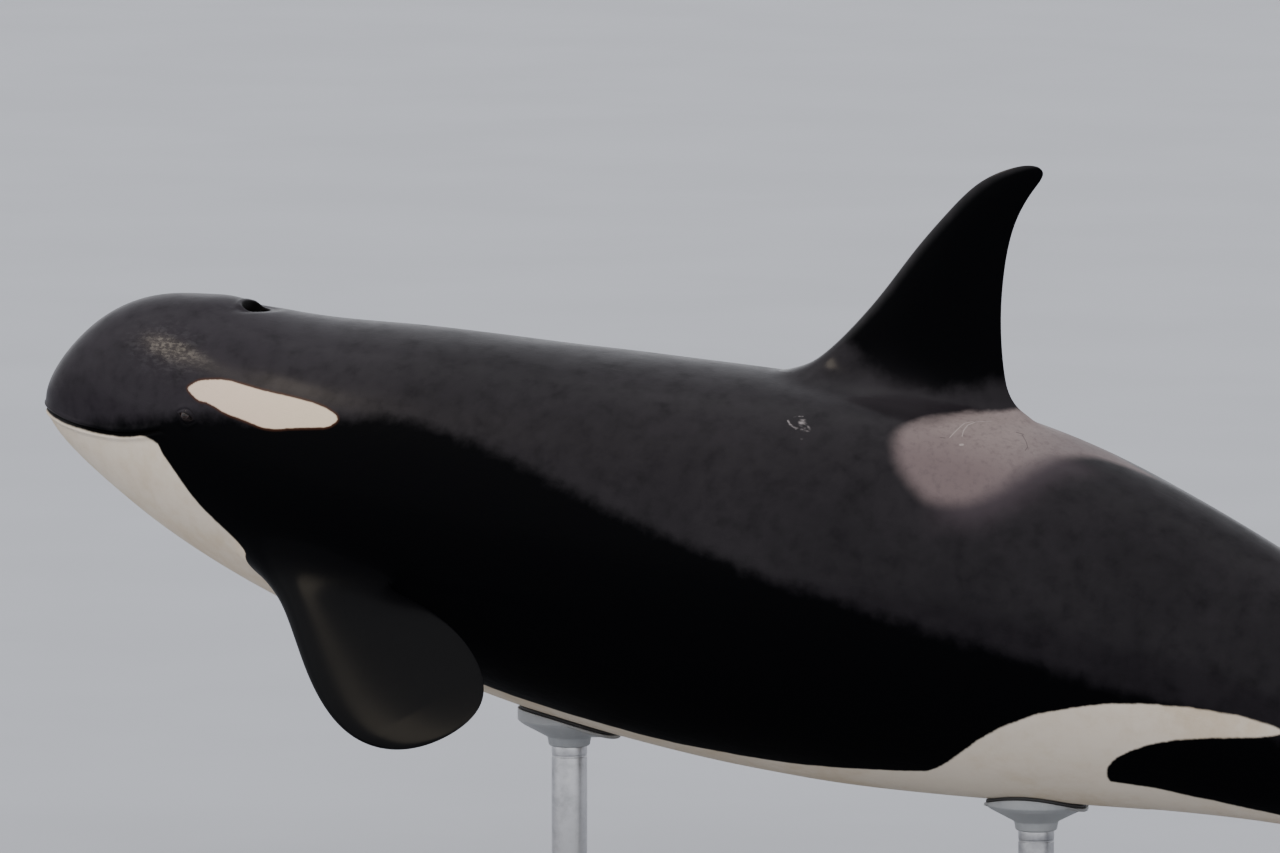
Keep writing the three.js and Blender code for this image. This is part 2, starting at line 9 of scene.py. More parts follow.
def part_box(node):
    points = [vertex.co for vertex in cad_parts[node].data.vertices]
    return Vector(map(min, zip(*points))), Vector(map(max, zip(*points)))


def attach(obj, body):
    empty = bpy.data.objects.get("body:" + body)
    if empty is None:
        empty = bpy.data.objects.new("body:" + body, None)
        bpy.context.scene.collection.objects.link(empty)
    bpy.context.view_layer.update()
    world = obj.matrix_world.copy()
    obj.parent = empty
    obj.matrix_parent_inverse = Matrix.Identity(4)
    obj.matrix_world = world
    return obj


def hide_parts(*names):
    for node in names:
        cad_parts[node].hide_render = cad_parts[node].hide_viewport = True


# A life-size orca on a plain display stand. Metres, snout to -X, left side to -Y.
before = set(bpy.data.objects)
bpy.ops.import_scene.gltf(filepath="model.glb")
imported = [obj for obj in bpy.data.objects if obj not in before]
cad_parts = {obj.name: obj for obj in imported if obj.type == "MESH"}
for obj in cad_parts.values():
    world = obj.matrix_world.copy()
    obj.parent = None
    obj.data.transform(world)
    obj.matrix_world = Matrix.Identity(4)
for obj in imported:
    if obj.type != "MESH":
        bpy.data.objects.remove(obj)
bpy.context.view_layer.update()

# The body's straight outline as [place, value] in percent of its length, then its bend.
bodyShape = {
    "length": 6.2,
    "nosePitch": math.radians(10.3),
    "back": [(0, -0.9), (0.5, 1.15), (1.2, 2.4), (2.4, 3.85), (4, 5.0), (6, 5.7), (9.5, 6.0), (13, 6.1),
             (18, 6.7), (25, 7.4), (33, 8.2), (40, 8.8), (46, 9.1), (52, 8.75), (60, 7.25), (70, 5.25),
             (80, 3.7), (90, 2.25), (94, 1.6), (97, 0.9), (98.6, 0.15)],
    "belly": [(0, -0.9), (0.8, -2.3), (2.5, -3.5), (5, -4.8), (9, -6.5), (14, -8.0), (20, -9.4),
              (28, -10.6), (36, -11.0), (45, -10.7), (55, -9.3), (65, -7.0), (75, -4.75), (85, -2.85),
              (92, -1.7), (97, -0.7), (98.6, -0.15)],
    "halfWidth": [(0, 0), (0.6, 1.75), (1.5, 2.6), (3, 3.5), (5, 4.5), (8, 5.75), (12, 6.9), (18, 8.15),
                  (26, 9.15), (34, 9.55), (42, 9.4), (50, 8.6), (60, 6.65), (70, 4.45), (80, 2.7),
                  (88, 1.75), (94, 1.3), (97, 0.8), (98.6, 0.15)],
    "bend": [(40, 0), (50, 0.8), (56, 3.4), (65, 8), (75, 11.5), (85, 11.5), (93, 4), (100, -2), (110, -2)],
    "keel": [(0, 1), (40, 1), (60, 1.1), (75, 1.35), (90, 1.45), (98.6, 1.1)],
    "trunkEnd": 0.4,
    "widest": 0.52,
    "end": 0.986,
}
length = bodyShape["length"]
percentMm, bodyMm = length * 10, length * 1000  # one percent of the length and all of it, in mm


def splineThrough(stations):
    x, y = np.array(stations, float).T
    step, slope = np.diff(x), np.diff(y) / np.diff(x)
    matrix, right = np.eye(len(x)), np.zeros(len(x))
    for i in range(1, len(x) - 1):
        matrix[i, i - 1:i + 2] = step[i - 1], 2 * (step[i - 1] + step[i]), step[i]
        right[i] = 6 * (slope[i] - slope[i - 1])
    bend = np.linalg.solve(matrix, right)

    def at(value):
        value = np.asarray(value, float)
        i = np.clip(np.searchsorted(x, value) - 1, 0, len(x) - 2)
        d = value - x[i]
        first = slope[i] - step[i] * (2 * bend[i] + bend[i + 1]) / 6
        return y[i] + d * (first + d * (bend[i] / 2 + d * (bend[i + 1] - bend[i]) / (6 * step[i])))
    return at


def bluntSpline(stations):
    spline = splineThrough([(math.sqrt(place / 100), value / 100) for place, value in stations])
    return lambda s: spline(np.sqrt(np.maximum(s, 0)))


def smooth(low, high, value):
    t = np.clip((np.asarray(value, float) - low) / (high - low), 0, 1)
    return t * t * (3 - 2 * t)


def bell(value, width):
    return np.exp(-(value / width) ** 2)


backAt, bellyAt, halfWidthAt = (bluntSpline(bodyShape[name]) for name in ("back", "belly", "halfWidth"))
bendAt, keelAt = splineThrough(bodyShape["bend"]), splineThrough(bodyShape["keel"])


def pitchAt(s):
    s = np.asarray(s, float)
    return bodyShape["nosePitch"] + np.where(s > bodyShape["trunkEnd"], np.radians(bendAt(s * 100)), 0)


spineAt = np.linspace(0, 1.1, 441)
spineStep = spineAt[1]
middlePitch = pitchAt((spineAt[1:] + spineAt[:-1]) / 2)
spineX = np.concatenate([[0], np.cumsum(np.cos(middlePitch))]) * spineStep
spineZ = -np.concatenate([[0], np.cumsum(np.sin(middlePitch))]) * spineStep


# From the straight body to the posed one, in metres from the snout's tip.
def posed(s, across, up):
    s, across, up = np.broadcast_arrays(np.asarray(s, float), across, up)
    pitch, lead = pitchAt(s), np.minimum(s, 0)
    x = np.interp(s, spineAt, spineX) + lead * np.cos(pitch) + up * np.sin(pitch)
    z = np.interp(s, spineAt, spineZ) - lead * np.sin(pitch) + up * np.cos(pitch)
    return length * np.stack([x, across, z], -1)


def sectionAt(s, grow=0.0):
    top, bottom = backAt(s) + grow / length, bellyAt(s) - grow / length
    middle = bottom + (top - bottom) * bodyShape["widest"]
    return top, bottom, middle, np.maximum(halfWidthAt(s), 0) + grow / length, keelAt(s * 100)


# A point of the skin: turn runs from the top midline down the left side.
def skinPoint(s, turn, grow=0.0):
    top, bottom, middle, halfWidth, keel = sectionAt(s, grow)
    rise, side = np.cos(turn), np.sin(turn)
    up = middle + rise * np.where(rise > 0, top - middle, middle - bottom)
    return posed(s, -halfWidth * np.sign(side) * np.abs(side) ** keel, up)


def turnAt(place, level, grow=0.0):
    top, bottom, middle, _, _ = sectionAt(np.asarray(place) / 100, grow)
    up = np.asarray(level) / 100
    return np.arccos(np.clip((up - middle) / np.where(up > middle, top - middle, middle - bottom), -1, 1))


def sidePoint(place, level, grow=0.0):
    return skinPoint(place / 100, turnAt(place, level, grow), grow)


def skinNormal(root, turn):
    small = 1e-4
    along = skinPoint((root + small) ** 2, turn) - skinPoint((root - small) ** 2, turn)
    round_ = skinPoint(root ** 2, turn + 0.01) - skinPoint(root ** 2, turn - 0.01)
    normal = np.cross(round_, along)
    return normal / np.linalg.norm(normal, axis=-1, keepdims=True)


eyeForm = {
    "place": 9.6, "level": 0.8, "radius": 0.024, "sink": 0.018,
    "halfLength": 23.0, "halfHeight": 8.5, "tilt": 0.1,
    "lids": ((4.5, 4.5, 2.6), (14.0, 3.0, -1.0), (22.0, 9.0, 1.6)),  # centre, width, height
    "cover": 1.8, "gap": 2.2, "socket": 15.0, "slit": (-2.2, 0.6), "reach": 90,
}
eyeCentre = sidePoint(eyeForm["place"], eyeForm["level"], -eyeForm["sink"])
eyeBox = np.array([list(c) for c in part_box("eye_left")])
offset = eyeBox.mean(0) - eyeCentre
print("offset of the snout tip", offset.round(4))

# Details of the skin, in mm along its normal: a ridge is (centre, width, height), a fade (none at, full at).
mouthForm = {
    "line": [(-3, -1.2), (0.4, -1.35), (2, -1.5), (4, -1.4), (6, -1.05), (7.4, -0.6), (8.2, -0.3)],
    "fade": (7.5, 8.7),
    "ridges": ((0.0, 5.0, -6.0), (13.0, 8.0, 4.5), (-13.0, 8.0, 5.5)),  # the gap, upper and lower lip
}
blowholeForm = {
    "place": 9.95, "halfWidth": 68.0, "halfLength": 41.0, "bow": 13.0, "depth": 46.0, "wall": 17.0,
    "rim": (8.0, 8.0, 3.0), "rearDip": (6.0, 26.0, -12.0), "fold": (-15.0, 5.0, 5.0),
    "crown": (-95.0, 75.0, 9.0), "crownWide": 120.0, "rimFade": (15, -25), "dipFade": (-24, 20),
    "foldFade": (20, -30), "turnEnd": 0.6, "placeEnd": 0.16,
}
bellyForm = {
    "navel": 47.5, "navelLong": 28.0, "navelWide": 10.0, "navelDeep": 7.0,
    "groove": (57.5, 61.5), "grooveEnd": 0.4, "grooveRidges": ((14.0, 9.0, 3.0), (0.0, 5.0, -6.0)),
}
unevenness = 0.8
mouthLevelAt = splineThrough(mouthForm["line"])


def eyeEdge(s, level):
    u = (s * 100 - eyeForm["place"]) * percentMm
    v = (level - eyeForm["level"]) * percentMm + eyeForm["tilt"] * u
    return u, v, np.abs(v) - eyeForm["halfHeight"] * (1 - (u / eyeForm["halfLength"]) ** 2)


def mouthEdge(s, level):
    return (level - mouthLevelAt(np.minimum(s * 100, mouthForm["line"][-1][0]))) * percentMm


# Signed distance from the blowhole's edge, negative inside, with the offset behind its middle.
def blowholeEdge(s, across):
    form = blowholeForm
    y = across * bodyMm
    x = (s * 100 - form["place"]) * percentMm - form["bow"] * (1 - (y / form["halfWidth"]) ** 2)
    ratio = np.hypot(x / form["halfLength"], y / form["halfWidth"]) + 1e-6
    slope = np.hypot(x / form["halfLength"] ** 2, y / form["halfWidth"] ** 2) + 1e-6
    return x, y, np.minimum((ratio - 1) * ratio / slope, 400)


def ridge(edge, form):
    centre, width, height = form
    return height * bell(edge - centre, width)


def skinDetail(s, turn):
    top, bottom, middle, halfWidth, keel = sectionAt(s)
    rise = np.cos(turn)
    level = 100 * (middle + rise * np.where(rise > 0, top - middle, middle - bottom))
    across = halfWidth * np.abs(np.sin(turn)) ** keel
    # lips and the line between them
    edge = mouthEdge(s, level)
    high = sum(ridge(edge, lip) for lip in mouthForm["ridges"]) * (1 - smooth(*mouthForm["fade"], s * 100))
    # the eye's lids over its ball, and the opening between them
    form, (u, v, lid) = eyeForm, eyeEdge(s, level)
    near = np.maximum(np.abs(u), np.abs(v)) < form["reach"]
    ball = np.sqrt(np.maximum((form["radius"] * 1000) ** 2 - u * u - v * v, 0)) - form["sink"] * 1000
    outside = np.maximum(ball + form["cover"], 0) + sum(ridge(lid, fold) for fold in form["lids"])
    inside = np.minimum(np.maximum(ball - form["gap"], -form["socket"]), outside)
    high += np.where(near, inside + (outside - inside) * smooth(*form["slit"], lid), 0)
    # the blowhole with its rolled rim and the crown before it
    form, (x, y, hole) = blowholeForm, blowholeEdge(s, across)
    crest = ridge(hole, form["rim"]) * (0.55 + 0.6 * smooth(*form["rimFade"], x))
    crest = crest + ridge(hole, form["rearDip"]) * smooth(*form["dipFade"], x)
    crest = crest + ridge(x, form["crown"]) * bell(y, form["crownWide"])
    pit = -form["depth"] * smooth(1.5, -form["wall"], hole)
    fold = ridge(hole, form["fold"]) * smooth(*form["foldFade"], x)
    near = (np.abs(turn) < form["turnEnd"]) & (s < form["placeEnd"])
    high += np.where(near, crest + pit + fold, 0)
    # belly: navel dimple and the groove behind it
    form, beside = bellyForm, (math.pi - np.abs(turn)) * bodyMm * halfWidth
    navel = bell((s * 100 - form["navel"]) * percentMm, form["navelLong"]) * bell(beside, form["navelWide"])
    first, last = form["groove"]
    span = smooth(first, first + form["grooveEnd"], s * 100) * smooth(last, last - form["grooveEnd"], s * 100)
    high += span * sum(ridge(beside, fold) for fold in form["grooveRidges"]) - form["navelDeep"] * navel
    # faint unevenness of the blubber
    a, b = s * length, turn * 0.55
    swell = np.sin(9.1 * a + 3 * np.sin(5.3 * b)) * np.sin(7.7 * b * 1.3 + 2.1 * np.sin(3.7 * a))
    return (high + unevenness * swell * smooth(0.02, 0.1, s)) / 1000


# Grids of rows and columns, close together at the eyes, mouth and blowhole. Rows are in metres, turns in
# degrees, and the finer turns as (from, to, step).
gridForm = {
    "headEnd": 0.136, "headRow": 0.0062, "mouthRow": 0.0034, "blowholeRow": 0.0032, "eyeRow": 0.0016,
    "mouthEnd": 8.7, "blowholeSpan": (9.3, 12), "eyeSpan": 0.55, "bodyRow": 0.0125, "bodyColumns": 320,
    "turn": 1.3, "turns": ((-1, 15, 0.45), (55, 76, 0.9), (86, 138, 0.55)), "eyeTurn": 0.24,
    "eyeTurnSpan": 5.2, "coarser": 1.0,
}


def spread(density, values):
    total = np.concatenate([[0], np.cumsum((density[1:] + density[:-1]) / 2 * np.diff(values))])
    return np.interp(np.linspace(0, total[-1], math.ceil(total[-1]) + 1), total, values)


def headRows():
    root = np.linspace(0.004, math.sqrt(gridForm["headEnd"]), 4000)
    travel = np.zeros_like(root)
    for turn in (0, math.pi / 2, math.pi):
        line = skinPoint(root ** 2, turn)
        travel = np.maximum(travel, np.linalg.norm(np.gradient(line, axis=0), axis=1) / np.gradient(root))
    place, (low, high) = root ** 2 * 100, gridForm["blowholeSpan"]
    spacing = np.where(place < gridForm["mouthEnd"], gridForm["mouthRow"], gridForm["headRow"])
    spacing = np.where((place > low) & (place < high), gridForm["blowholeRow"], spacing)
    spacing = np.where(np.abs(place - eyeForm["place"]) < gridForm["eyeSpan"], gridForm["eyeRow"], spacing)
    return spread(travel / spacing, root) ** 2


def headTurns():
    half = np.radians(np.linspace(0, 180, 3601))
    degrees, step = np.degrees(half), np.full_like(half, gridForm["turn"])
    for low, high, turn in gridForm["turns"]:
        step[(degrees > low) & (degrees < high)] = turn
    eyeTurn = math.degrees(turnAt(eyeForm["place"], eyeForm["level"]))
    step[np.abs(degrees - eyeTurn) < gridForm["eyeTurnSpan"]] = gridForm["eyeTurn"]
    kept = spread(1 / (np.radians(step) * gridForm["coarser"]), half)
    return np.concatenate([-kept[:0:-1], kept[:-1]])


def gridFaces(first, rows, columns):
    index = first + np.arange(rows * columns).reshape(rows, columns)
    beside = np.roll(index, -1, axis=1)
    return np.stack([index[:-1], beside[:-1], beside[1:], index[1:]], -1).reshape(-1, 4)


# Triangles from a ring to one point, beyond the tube's end or before its start.
def fan(ring, count, point, atStart=False):
    faces = np.array([(ring + k, ring + (k + 1) % count, point) for k in range(count)])
    return faces[:, ::-1] if atStart else faces


# Both fans of a tube of rings, whose end points follow its grid.
def endFans(rings, count):
    total = rings * count
    return np.concatenate([fan(0, count, total, True), fan(total - count, count, total + 1)])


# Triangles between two closed rings with different numbers of columns.
def zipper(firstA, turnsA, firstB, turnsB):
    faces, i, j = [], 0, 0
    countA, countB = len(turnsA), len(turnsB)
    ringA, ringB = (np.concatenate([turns, turns[:2] + 2 * math.pi]) for turns in (turnsA, turnsB))
    while i < countA or j < countB:
        a, b = firstA + i % countA, firstB + j % countB
        if j >= countB or (i < countA and ringA[i + 1] <= ringB[j + 1]):
            faces.append((a, firstA + (i + 1) % countA, b))
            i += 1
        else:
            faces.append((a, firstB + (j + 1) % countB, b))
            j += 1
    return faces


def meshFrom(name, points, *blocks):
    faces = [face for block in blocks for face in np.asarray(block).tolist()]
    mesh = bpy.data.meshes.new(name)
    mesh.from_pydata(np.asarray(points).tolist(), [], faces)
    mesh.validate()
    mesh.polygons.foreach_set("use_smooth", np.ones(len(mesh.polygons), bool))
    mesh.update()
    made = bpy.data.objects.new(name, mesh)
    bpy.context.scene.collection.objects.link(made)
    return made


def skinGrid(rows, turns):
    s, turn = np.meshgrid(rows, turns, indexing="ij")
    return skinPoint(s, turn) + skinNormal(np.sqrt(s), turn) * skinDetail(s, turn)[..., None]


def trunk():
    start, end, columns = gridForm["headEnd"], bodyShape["end"], gridForm["bodyColumns"]
    turns, bodyTurns = headTurns(), np.linspace(-math.pi, math.pi, columns + 1)[:-1]
    head = skinGrid(headRows(), turns)
    bodyRows = np.linspace(start, end, int((end - start) * length / gridForm["bodyRow"]) + 1)[1:]
    body = skinGrid(bodyRows, bodyTurns)
    headCount = len(head) * len(turns)
    tip = headCount + len(body) * columns
    poles = [posed(0, 0, backAt(0)), posed(end, 0, sectionAt(end)[2])]
    points = np.concatenate([head.reshape(-1, 3), body.reshape(-1, 3), poles]) + offset
    print("trunk", head.shape, body.shape)
    return meshFrom("orcaSkin", points, gridFaces(0, *head.shape[:2]), gridFaces(headCount, *body.shape[:2]),
                    zipper(headCount - len(turns), turns, headCount, bodyTurns),
                    fan(0, len(turns), tip, True), fan(tip - columns, columns, tip + 1))


# Fins: front and rear edge as place over height, root spread into the body. All in mm.
finForms = {
    "dorsal": {
        "span": 12.6, "unit": percentMm,
        "front": [(12.6, 48.6), (12.3, 47.6), (11.2, 46.08), (9.3, 44.7), (7, 43.35), (4.3, 41.92),
                  (2.3, 40.68), (0, 39.2)],
        "rear": [(12.6, 48.6), (12.3, 49.02), (11.2, 48.62), (9.3, 48.1), (7, 48.06), (4.3, 48.41),
                 (2.3, 48.88), (0, 49.45)],
        "root": 105, "tip": 20, "flare": 46, "spread": (62, 90, 118), "sunk": 60, "skirt": 36, "base": 8.77,
        "follows": 80,
    },
    "flipper": {
        "span": 930, "unit": 1,
        "front": [(930, 60), (910, -40), (800, -165), (600, -225), (380, -210), (180, -165), (0, -125)],
        "rear": [(930, 60), (910, 140), (800, 215), (600, 235), (380, 205), (180, 160), (0, 140)],
        "root": 110, "tip": 22, "flare": 55, "spread": (40, 75, 60), "sunk": 130, "skirt": 0,
        "place": 18.2, "level": -5.2, "drop": math.radians(36.06), "sweep": math.radians(40),
        "twist": math.radians(12),
    },
    "fluke": {
        "span": 13.3, "unit": percentMm,
        "front": [(13.3, 101.86), (13, 100.9), (11.8, 99.3), (9.4, 97.1), (6.4, 94.9), (3.6, 92.9),
                  (2.6, 91.8), (1.8, 90.5), (0, 86.8)],
        "rear": [(13.3, 101.86), (13, 102.06), (11.8, 101.57), (9.4, 101.1), (6.4, 101.2), (3.6, 101.6),
                 (1.2, 101.3), (0, 99.9)],
        "root": 92, "tip": 16, "flare": 60, "spread": (0, 0, 40), "sunk": 30, "skirt": 0,
        "frame": 0.955, "droop": 30,
    },
}
# The fins' section: thickest ahead of its middle, thinning to the tip, with a skirt down into the body.
finSection = {"fullest": 1.175, "taper": 0.7, "swell": 0.9, "tipThin": 2.5, "tipRows": 1.7, "skirtRows": 11}


def finEdges(form):
    span = form["span"]
    front, rear = (splineThrough([(math.sqrt(1 - h / span), x * form["unit"]) for h, x in form[side]])
                   for side in ("front", "rear"))

    def at(height):
        root = np.sqrt(np.clip(1 - np.maximum(height, 0) / (span * form["unit"]), 0, 1))
        flare = np.exp(-height / form["flare"])
        return front(root) - form["spread"][0] * flare, rear(root) + form["spread"][1] * flare, root, flare
    return at


def finMesh(name, form, pointOf, rows, sides):
    edges, tall = finEdges(form), form["span"] * form["unit"]
    turn = 2 * math.pi * (np.arange(sides) + 0.5) / sides
    heights = tall * (1 - (1 - np.arange(rows) / rows) ** finSection["tipRows"])
    skirt = [0.0]
    if form["skirt"]:
        skirt = -form["skirt"] * np.linspace(1, 0, finSection["skirtRows"] + 1)[:-1]
    rings = []
    for height, depth in [(skirt[0], form["sunk"])] + [(h, 0) for h in (*skirt, *heights[1:])]:
        front, rear, root, flare = edges(height)
        left = (1 - max(height, 0) / tall) ** finSection["swell"]
        swell = form["tip"] + (form["root"] - form["tip"]) * left
        thick = swell * min(1, root * finSection["tipThin"]) + form["spread"][2] * flare
        along = front + (rear - front) * (1 + np.cos(turn)) / 2
        out = thick / 2 * np.sin(turn) * (1 - finSection["taper"] * np.cos(turn)) / finSection["fullest"]
        rings.append(pointOf(along, out, height - depth))
    middle = sum(edges(skirt[0])[:2]) / 2
    ends = [pointOf(middle, 0.0, skirt[0] - form["sunk"]), pointOf(edges(tall)[0], 0.0, tall)]
    points = np.concatenate([np.concatenate(rings), np.array(ends).reshape(2, 3)])
    quads, caps = gridFaces(0, len(rings), sides), endFans(len(rings), sides)
    corners = np.concatenate([quads[:, :3], quads[:, (0, 2, 3)], caps])
    a, b, c = (points[corners[:, k]] - points.mean(0) for k in range(3))
    turned = slice(None, None, 1 if (np.cross(b, c) * a).sum() > 0 else -1)  # faces out
    return meshFrom(name, points, quads[:, turned], caps[:, turned])


def dorsalPoint(along, out, height):
    form, s = finForms["dorsal"], along / bodyMm
    base = form["base"] / 100
    up = base + height / bodyMm + (backAt(s) - base) * smooth(form["follows"], 0, height)
    return posed(s, out / bodyMm, up) + offset


flipper = finForms["flipper"]
flipperRoot = sidePoint(flipper["place"], flipper["level"])
drop, sweep, twist = flipper["drop"], flipper["sweep"], flipper["twist"]
flipperOut = np.array([math.sin(sweep), -math.cos(sweep) * math.cos(drop), -math.cos(sweep) * math.sin(drop)])
flatBack = np.array([math.cos(sweep), math.sin(sweep) * math.cos(drop), math.sin(sweep) * math.sin(drop)])
flipperBack = flatBack * math.cos(twist) + np.cross(flipperOut, flatBack) * math.sin(twist)
flipperFace = np.cross(flipperBack, flipperOut)


def flipperPoint(side):
    def at(along, out, height):
        settle = math.tan(sweep) * (1 - max(0, height) / flipper["span"]) ** 3
        along, out = np.asarray(along, float)[..., None], np.asarray(out, float)[..., None]
        reach = flipperBack * along + flipperFace * out + flipperOut * (height + along * settle)
        return (flipperRoot + reach / 1000) * (1, side, 1) + offset
    return at


fluke = finForms["fluke"]
flukePitch = float(pitchAt(fluke["frame"]))
flukeCentre = posed(fluke["frame"], 0, 0)
flukeSpan = fluke["span"] * fluke["unit"]


def flukePoint(side):
    def at(along, out, height):
        reach = (np.asarray(along, float) - fluke["frame"] * bodyMm) / 1000
        rise = (np.asarray(out, float) - fluke["droop"] * (max(height, 0) / flukeSpan) ** 2) / 1000
        x = flukeCentre[0] + reach * math.cos(flukePitch) + rise * math.sin(flukePitch)
        z = flukeCentre[2] - reach * math.sin(flukePitch) + rise * math.cos(flukePitch)
        return np.stack([x, np.full_like(x, -side * height / 1000), z], -1) + offset
    return at


def unite(body, others):
    for other in others:
        cut = body.modifiers.new("join", "BOOLEAN")
        cut.operation, cut.solver, cut.object = "UNION", "MANIFOLD", other
    made = bpy.data.meshes.new_from_object(body.evaluated_get(bpy.context.evaluated_depsgraph_get()))
    body.modifiers.clear()
    body.data = made
    for other in others:
        bpy.data.objects.remove(other)
    return body


# Reads one value of every element of a mesh, such as its points' places.
def readAll(elements, name, width, kind=float):
    values = np.empty(len(elements) * width, kind)
    elements.foreach_get(name, values)
    return values.reshape(-1, width) if width > 1 else values


# From the posed body back to the straight one: share along, across and up.
def straight(points):
    x, y, z = (points - offset).T / length
    s = x.copy()
    for _ in range(40):
        pitch, lead = pitchAt(s), np.minimum(s, 0)
        behind = x - np.interp(s, spineAt, spineX) - lead * np.cos(pitch)
        below = z - np.interp(s, spineAt, spineZ) + lead * np.sin(pitch)
        s = np.clip(s + 0.9 * (behind * np.cos(pitch) - below * np.sin(pitch)), -0.02, 1.08)
    pitch = pitchAt(s)
    behind, below = x - np.interp(s, spineAt, spineX), z - np.interp(s, spineAt, spineZ)
    return s, y, behind * np.sin(pitch) + below * np.cos(pitch)


# How far out a point lies, as a share of the section's own reach, its turn, and its height off the skin.
def roundTheBody(s, across, up):
    top, bottom, middle, halfWidth, keel = sectionAt(np.clip(s, 1e-6, bodyShape["end"]))
    rise = (up - middle) / np.maximum(np.where(up > middle, top - middle, middle - bottom), 1e-4)
    side = np.abs(across / np.maximum(halfWidth, 1e-4)) ** (1 / keel)
    out = np.hypot(rise, side)
    return out, np.arctan2(side, rise), (out - 1) * (top - bottom) / 2 * length


joinForm = {
    "reach": 0.05, "reachLow": 0.075, "rounds": 120, "strength": 0.5, "least": 0.002,  # reach in metres
    "dorsalFrom": 0.37, "flipperFrom": 0.12, "bare": (0.52, 0.885),  # shares of the length
}


# Rounds the roots of the fins: points near a join move towards the middle of their neighbours.
def softenJoins(body):
    form, mesh = joinForm, body.data
    points, edges = readAll(mesh.vertices, "co", 3), readAll(mesh.edges, "vertices", 2, np.int32)
    s, across, up = straight(points)
    away = roundTheBody(s, across, up)[2]
    isFin = (away > 0.004) & ((s > form["dorsalFrom"]) | (s > form["flipperFrom"]) & (up < -0.01))
    isFin &= ~((s > form["bare"][0]) & (s < form["bare"][1]))
    seam = np.unique(edges[isFin[edges[:, 0]] != isFin[edges[:, 1]]])
    tree = KDTree(len(seam))
    for i, k in enumerate(seam):
        tree.insert(points[k], i)
    tree.balance()
    distance = np.full(len(points), 9.0)  # far away
    candidates = np.flatnonzero(isFin | (np.abs(away) < 0.02) & (s > form["flipperFrom"]))
    low, high = points[seam].min(0) - 0.1, points[seam].max(0) + 0.1
    for k in candidates[np.all((points[candidates] > low) & (points[candidates] < high), axis=1)]:
        distance[k] = tree.find(points[k])[2]
    reach = np.where((s < form["dorsalFrom"]) & (up < 0), form["reachLow"], form["reach"])
    weight = form["strength"] * np.exp(-(distance / reach) ** 2)
    active = np.flatnonzero(weight > form["least"])
    near, local = np.unique(edges[np.isin(edges, active).any(axis=1)], return_inverse=True)
    first, second = local.reshape(-1, 2).T
    moving, share = points[near], (weight * (weight > form["least"]))[near, None]
    count = np.bincount(local.ravel(), minlength=len(near))[:, None]
    for _ in range(form["rounds"]):
        total = np.stack([np.bincount(first, moving[second, k], len(near))
                          + np.bincount(second, moving[first, k], len(near)) for k in range(3)], -1)
        moving += (total / count - moving) * share
    points[near] = moving
    mesh.vertices.foreach_set("co", points.ravel())
    mesh.update()
    print("joins softened at", len(active), "points")


skin = unite(trunk(), [
    finMesh("dorsal", finForms["dorsal"], dorsalPoint, 96, 84),
    finMesh("flipperLeft", flipper, flipperPoint(1), 84, 72),
    finMesh("flipperRight", flipper, flipperPoint(-1), 84, 72),
    finMesh("flukeLeft", fluke, flukePoint(1), 84, 76),
    finMesh("flukeRight", fluke, flukePoint(-1), 84, 76),
])
print("skin of", len(skin.data.vertices), "points and", len(skin.data.polygons), "faces")
softenJoins(skin)
skin.data.polygons.foreach_set("use_smooth", np.ones(len(skin.data.polygons), bool))

# Markings as outlines on the body's side: (place in percent, turn in degrees), or in the eye patch,
# on the fin and over the saddle (place, level), both in percent.
markings = {
    "eyePatch": [(9.3, 2.11), (9.48, 2.38), (9.85, 2.63), (10.55, 2.83), (11.4, 2.97), (13.2, 2.95),
                 (14.5, 2.99), (15.8, 3.01), (16.75, 2.96), (17.5, 2.81), (17.8, 2.63), (17.7, 2.36),
                 (17.3, 2.10), (16.3, 1.85), (15.4, 1.61), (14.8, 1.42), (14.1, 1.31), (13.5, 1.34),
                 (12.6, 1.42), (11.7, 1.50), (11.0, 1.66), (10.5, 1.74), (10.1, 1.73), (9.7, 1.87)],
    "saddle": [(45.62, 32), (45.78, 27.5), (46.15, 23.5), (46.7, 17), (47.3, 10), (48.2, 5), (48.9, 0),
               (49.4, -8), (53, -12), (57.2, -8), (57, 0), (55.4, 5.5), (54.3, 10), (53.5, 16.5),
               (52.7, 23), (52.2, 30), (51.8, 36), (51.3, 43), (50.6, 49), (49.6, 53), (48.4, 53.5),
               (47.6, 50.5), (46.9, 47), (46.3, 42.5), (45.85, 37)],
    "white": [(-1, 150), (8.2, 101), (9.5, 109), (11, 118), (13, 125), (15.5, 131), (18, 141), (21, 149),
              (26, 151), (31, 153), (37, 154), (44, 151), (50, 145), (56, 139), (62, 141), (68, 150),
              (74, 163), (79, 180), (82, 196)],
    "lobe": [(50, 152), (51.5, 138), (53.5, 124), (56, 113), (59.5, 104), (63, 98.5), (66, 95.5),
             (67.6, 96.5), (67, 101), (65, 107), (62.5, 114), (60.5, 123), (59.6, 133), (59.8, 146),
             (58, 156)],
    # dark and finDark: edges below which the skin is deeper black, partly its own black and partly painted shade
    "dark": [(0, 140), (4, 110), (7, 95), (9, 84), (11, 78), (13, 74.5), (15, 71.5), (17.8, 64),
             (20.2, 59.5), (22.2, 58.5), (24.3, 60.5), (25.8, 62), (27, 64), (30, 69.5), (35, 78),
             (42, 87), (50, 94), (60, 100), (80, 104), (100, 110)],
    "finDark": [(40.2, 12.4), (40.7, 11.2), (41.4, 10.6), (42.2, 10.15), (43, 9.8), (43.9, 9.42),
                (44.7, 9.28), (45.5, 9.24), (46.3, 9.48), (47.6, 9.95), (48.6, 10.4), (49.6, 10.9), (52, 11)],
    "saddleTop": [(40, 8.2), (45.9, 8.3), (46.65, 8.48), (47.6, 8.85), (48.4, 9.02), (49.2, 9.2),
                  (49.9, 9.45), (52, 9.7)],
}
